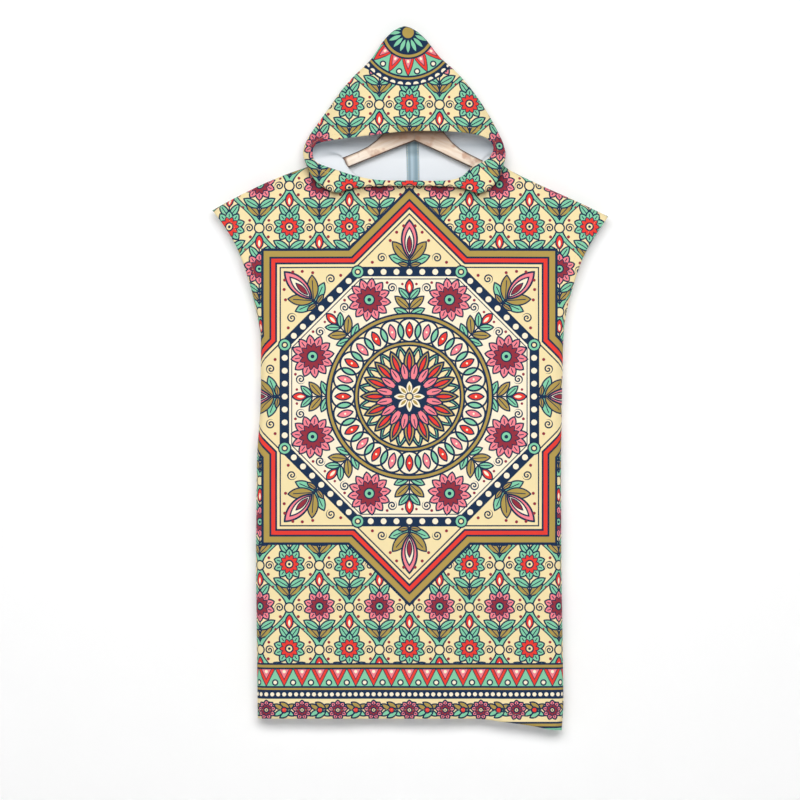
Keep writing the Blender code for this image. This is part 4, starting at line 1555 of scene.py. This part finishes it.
# %% A tree that sets stitches along paths
def stitch_tree():
    """Paths become curves, and a small rounded thread is set at equal steps along each."""
    tree = bpy.data.node_groups.new("stitches_along_paths", "GeometryNodeTree")
    tree.interface.new_socket("Paths", in_out="INPUT", socket_type="NodeSocketGeometry")
    for name in ("Spacing", "Stitch length", "Thread width"):
        tree.interface.new_socket(name, in_out="INPUT", socket_type="NodeSocketFloat")
    tree.interface.new_socket("Thread", in_out="INPUT", socket_type="NodeSocketMaterial")
    tree.interface.new_socket("Stitches", in_out="OUTPUT", socket_type="NodeSocketGeometry")
    nodes = Nodes(tree)
    given = tree.nodes.new("NodeGroupInput")
    paths, spacing, length, width, thread = (Value(nodes, given.outputs[i]) for i in range(5))
    curves = nodes.node("GeometryNodeMeshToCurve", inputs={"Mesh": paths})
    steps = nodes.node("GeometryNodeCurveToPoints", {"mode": "LENGTH"}, {"Curve": curves, "Length": spacing})
    turns = Value(nodes, steps.socket.node.outputs["Rotation"])
    ball = nodes.node("GeometryNodeMeshUVSphere", inputs={"Segments": 6, "Rings": 4, "Radius": 0.5})
    size = nodes.node("ShaderNodeCombineXYZ", inputs={0: width, 1: width, 2: length})
    placed = {"Points": steps, "Instance": ball, "Rotation": turns, "Scale": size}
    copies = nodes.node("GeometryNodeInstanceOnPoints", inputs=placed)
    real = nodes.node("GeometryNodeRealizeInstances", inputs={"Geometry": copies})
    smooth = nodes.node("GeometryNodeSetShadeSmooth", inputs={"Geometry": real})
    dressed = nodes.node("GeometryNodeSetMaterial", inputs={"Geometry": smooth, "Material": thread})
    nodes.feed(dressed, tree.nodes.new("NodeGroupOutput").inputs["Stitches"])
    return tree


def socket_id(tree, name):
    """The identifier behind an input's name."""
    return next(item.identifier for item in tree.interface.items_tree if item.name == name)


sewing_tree = stitch_tree()
print("the tree's Spacing input is set as", socket_id(sewing_tree, "Spacing"))

# %% The stitches
STITCH_STEP = 4.2
STITCH_LONG = 3.2
THREAD_WIDE = 0.5
THREAD_COLOUR = linear(226, 204, 158)


def path_object(name, all_paths):
    """All the paths as one mesh of edges."""
    points, edges = [], []
    for path in all_paths:
        first = len(points)
        points += [tuple(place(p)) for p in path]
        edges += [(i, i + 1) for i in range(first, len(points) - 1)]
    mesh = bpy.data.meshes.new(name)
    mesh.from_pydata(points, edges, [])
    made = bpy.data.objects.new(name, mesh)
    bpy.context.scene.collection.objects.link(made)
    return made


def stitches(name, all_paths, tree, thread):
    """The threads along all the paths, as one plain mesh."""
    source = path_object(name + "_paths", all_paths)
    modifier = source.modifiers.new("stitches", "NODES")
    modifier.node_group = tree
    modifier[socket_id(tree, "Spacing")] = STITCH_STEP * MM
    modifier[socket_id(tree, "Stitch length")] = STITCH_LONG * MM
    modifier[socket_id(tree, "Thread width")] = THREAD_WIDE * MM
    modifier[socket_id(tree, "Thread")] = thread
    bpy.context.view_layer.update()
    shown = source.evaluated_get(bpy.context.evaluated_depsgraph_get())
    mesh = bpy.data.meshes.new_from_object(shown)
    made = bpy.data.objects.new(name, mesh)
    bpy.context.scene.collection.objects.link(made)
    bpy.data.objects.remove(source, do_unlink=True)
    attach(made, "root")
    return made


thread, _, thread_shader = new_material("thread", 0.7)
thread_shader.inputs["Base Color"].default_value = THREAD_COLOUR
sewing = stitches("stitches", paths, sewing_tree, thread)
print("stitches:", len(sewing.data.polygons), "faces")

# %% [markdown]
# ## What the cloth is cut from
#
# Each shell keeps its flat cut as its UV map, named cut.

# %% The sheets
print("sheets:", len(shells) + 1)

# %% [markdown]
# ## The studio
#
# A pale wall stands a little behind the garment and takes its soft shadow, and a pale floor lies well
# below. Two wide lamps, one in front and one behind, light both sides alike. The wall would shut out the
# lamp behind, so it is clear from its back, and clear to the light that goes straight from that lamp to
# what the camera sees. It stays solid to light that has bounced, or the garment's bright back would wash
# out the shadow on the wall.


# %% The wall
def plane(name, size, location, turn_x, material):
    """A square that belongs to the studio and not to the garment."""
    half = size / 2
    mesh = bpy.data.meshes.new(name)
    corners = [(-half, -half, 0), (half, -half, 0), (half, half, 0), (-half, half, 0)]
    mesh.from_pydata(corners, [], [(0, 1, 2, 3)])
    mesh.materials.append(material)
    made = bpy.data.objects.new(name, mesh)
    made.location = location
    made.rotation_euler = (turn_x, 0, 0)
    bpy.context.scene.collection.objects.link(made)
    return made


def wall_paint():
    """White with a faint glow, and clear from behind and to the lamp behind."""
    made, nodes, shader = new_material("wall_paint", 0.9)
    shader.inputs["Base Color"].default_value = (0.97, 0.97, 0.97, 1.0)
    shader.inputs["Emission Color"].default_value = (1.0, 1.0, 1.0, 1.0)
    shader.inputs["Emission Strength"].default_value = 0.06
    from_behind = nodes.node("ShaderNodeNewGeometry", output="Backfacing")
    to_lamp = nodes.node("ShaderNodeLightPath", output="Is Shadow Ray")
    bounces = nodes.node("ShaderNodeLightPath", output="Ray Depth")
    through = most(from_behind, to_lamp * bounces.maths("LESS_THAN", 1.5))
    clear = nodes.node("ShaderNodeBsdfTransparent")
    front_side = Value(nodes, shader.outputs[0])
    mixed = nodes.node("ShaderNodeMixShader", inputs={0: through, 1: front_side, 2: clear})
    nodes.feed(mixed, nodes.tree.nodes["Material Output"].inputs["Surface"])
    return made


WALL_Y = 0.0225
WALL_MIDDLE_Z = -0.4
WALL_SIZE = 9.0
plane("studio_wall", WALL_SIZE, (0, WALL_Y, WALL_MIDDLE_Z), math.radians(90), wall_paint())
print("wall:", WALL_Y, "m behind the hanger")

# %% The floor
FLOOR_Z = -2.0
FLOOR_SIZE = 14.0
FLOOR_GLOW = (0.45, 0.45, 0.45, 1.0)
DARK = (0.0, 0.0, 0.0, 1.0)


def floor_paint():
    """Pale, with a glow behind the wall and far in front of it, where the lamps don't reach."""
    made, nodes, shader = new_material("floor_paint", 0.9)
    shader.inputs["Base Color"].default_value = (0.8, 0.8, 0.8, 1.0)
    shader.inputs["Emission Strength"].default_value = 1.0
    y = nodes.node("ShaderNodeTexCoord", output="Object").parts()[1]
    glow = Print(nodes, DARK)
    glow.over(((-y - 1.2) / 1.5).limited(0.0, 1.0), FLOOR_GLOW)
    glow.over((y * 10.0).limited(0.0, 1.0), FLOOR_GLOW)
    nodes.feed(glow.colour, shader.inputs["Emission Color"])
    return made


plane("studio_floor", FLOOR_SIZE, (0, 0, FLOOR_Z), 0.0, floor_paint())
print("floor:", -FLOOR_Z, "m below the hook")


# %% Lamps
def area_light(name, location, target, width, height, power, spread):
    """A soft oval lamp that points at its target."""
    data = bpy.data.lights.new(name, "AREA")
    data.shape = "ELLIPSE"
    data.size = width
    data.size_y = height
    data.energy = power
    data.spread = math.radians(spread)
    made = bpy.data.objects.new(name, data)
    made.location = location
    made.rotation_mode = "QUATERNION"
    made.rotation_quaternion = (Vector(target) - Vector(location)).to_track_quat("-Z", "Y")
    bpy.context.scene.collection.objects.link(made)


MIDDLE = (-0.024, 0.0, -0.50)
LAMP_AWAY = 4.2
LAMP_UP = 1.0
LAMP_WIDE, LAMP_HIGH = 5.8, 1.9
LAMP_POWER = 55.5
LAMP_SPREAD = 90
for name, side in (("key", -1), ("back", 1)):
    at = (MIDDLE[0], side * LAMP_AWAY, LAMP_UP)
    area_light(name, at, MIDDLE, LAMP_WIDE, LAMP_HIGH, LAMP_POWER, LAMP_SPREAD)
print("lamps: 2 of", LAMP_POWER, "W")

# %% The world's faint fill
WHITE = (1.0, 1.0, 1.0, 1.0)
world = bpy.data.worlds.new("studio")
world.use_nodes = True
sky = Nodes(world.node_tree)
fill = sky.node("ShaderNodeBackground", inputs={"Color": WHITE, "Strength": 0.13})
pale = sky.node("ShaderNodeBackground", inputs={"Color": WHITE, "Strength": 0.85})
seen = sky.node("ShaderNodeLightPath", output="Is Camera Ray")
both = sky.node("ShaderNodeMixShader", inputs={0: seen, 1: fill, 2: pale})
sky.feed(both, sky.tree.nodes["World Output"].inputs["Surface"])
bpy.context.scene.world = world
bpy.context.scene.view_settings.view_transform = "Standard"
print("world:", len(sky.tree.nodes), "nodes")

# %% [markdown]
# ## The camera
#
# The photograph is taken square on from far away. A long lens at the distance where the picture spans the
# right width gives the same flat view.

# %% Camera
SEEN = 1.2536  # metres across the picture at the garment
LENS = 200.0
SENSOR = 36.0
AWAY = SEEN * LENS / SENSOR
PICTURE_X, PICTURE_Z = -0.0242, -0.5014  # the middle of the picture
lens = bpy.data.cameras.new("camera")
lens.lens = LENS
lens.sensor_width = SENSOR
lens.clip_end = 50.0
camera = bpy.data.objects.new("camera", lens)
camera.location = (PICTURE_X, -AWAY, PICTURE_Z)
camera.rotation_euler = (math.radians(90), 0, 0)
bpy.context.scene.collection.objects.link(camera)
bpy.context.scene.camera = camera
print("camera:", round(AWAY, 2), "m away")
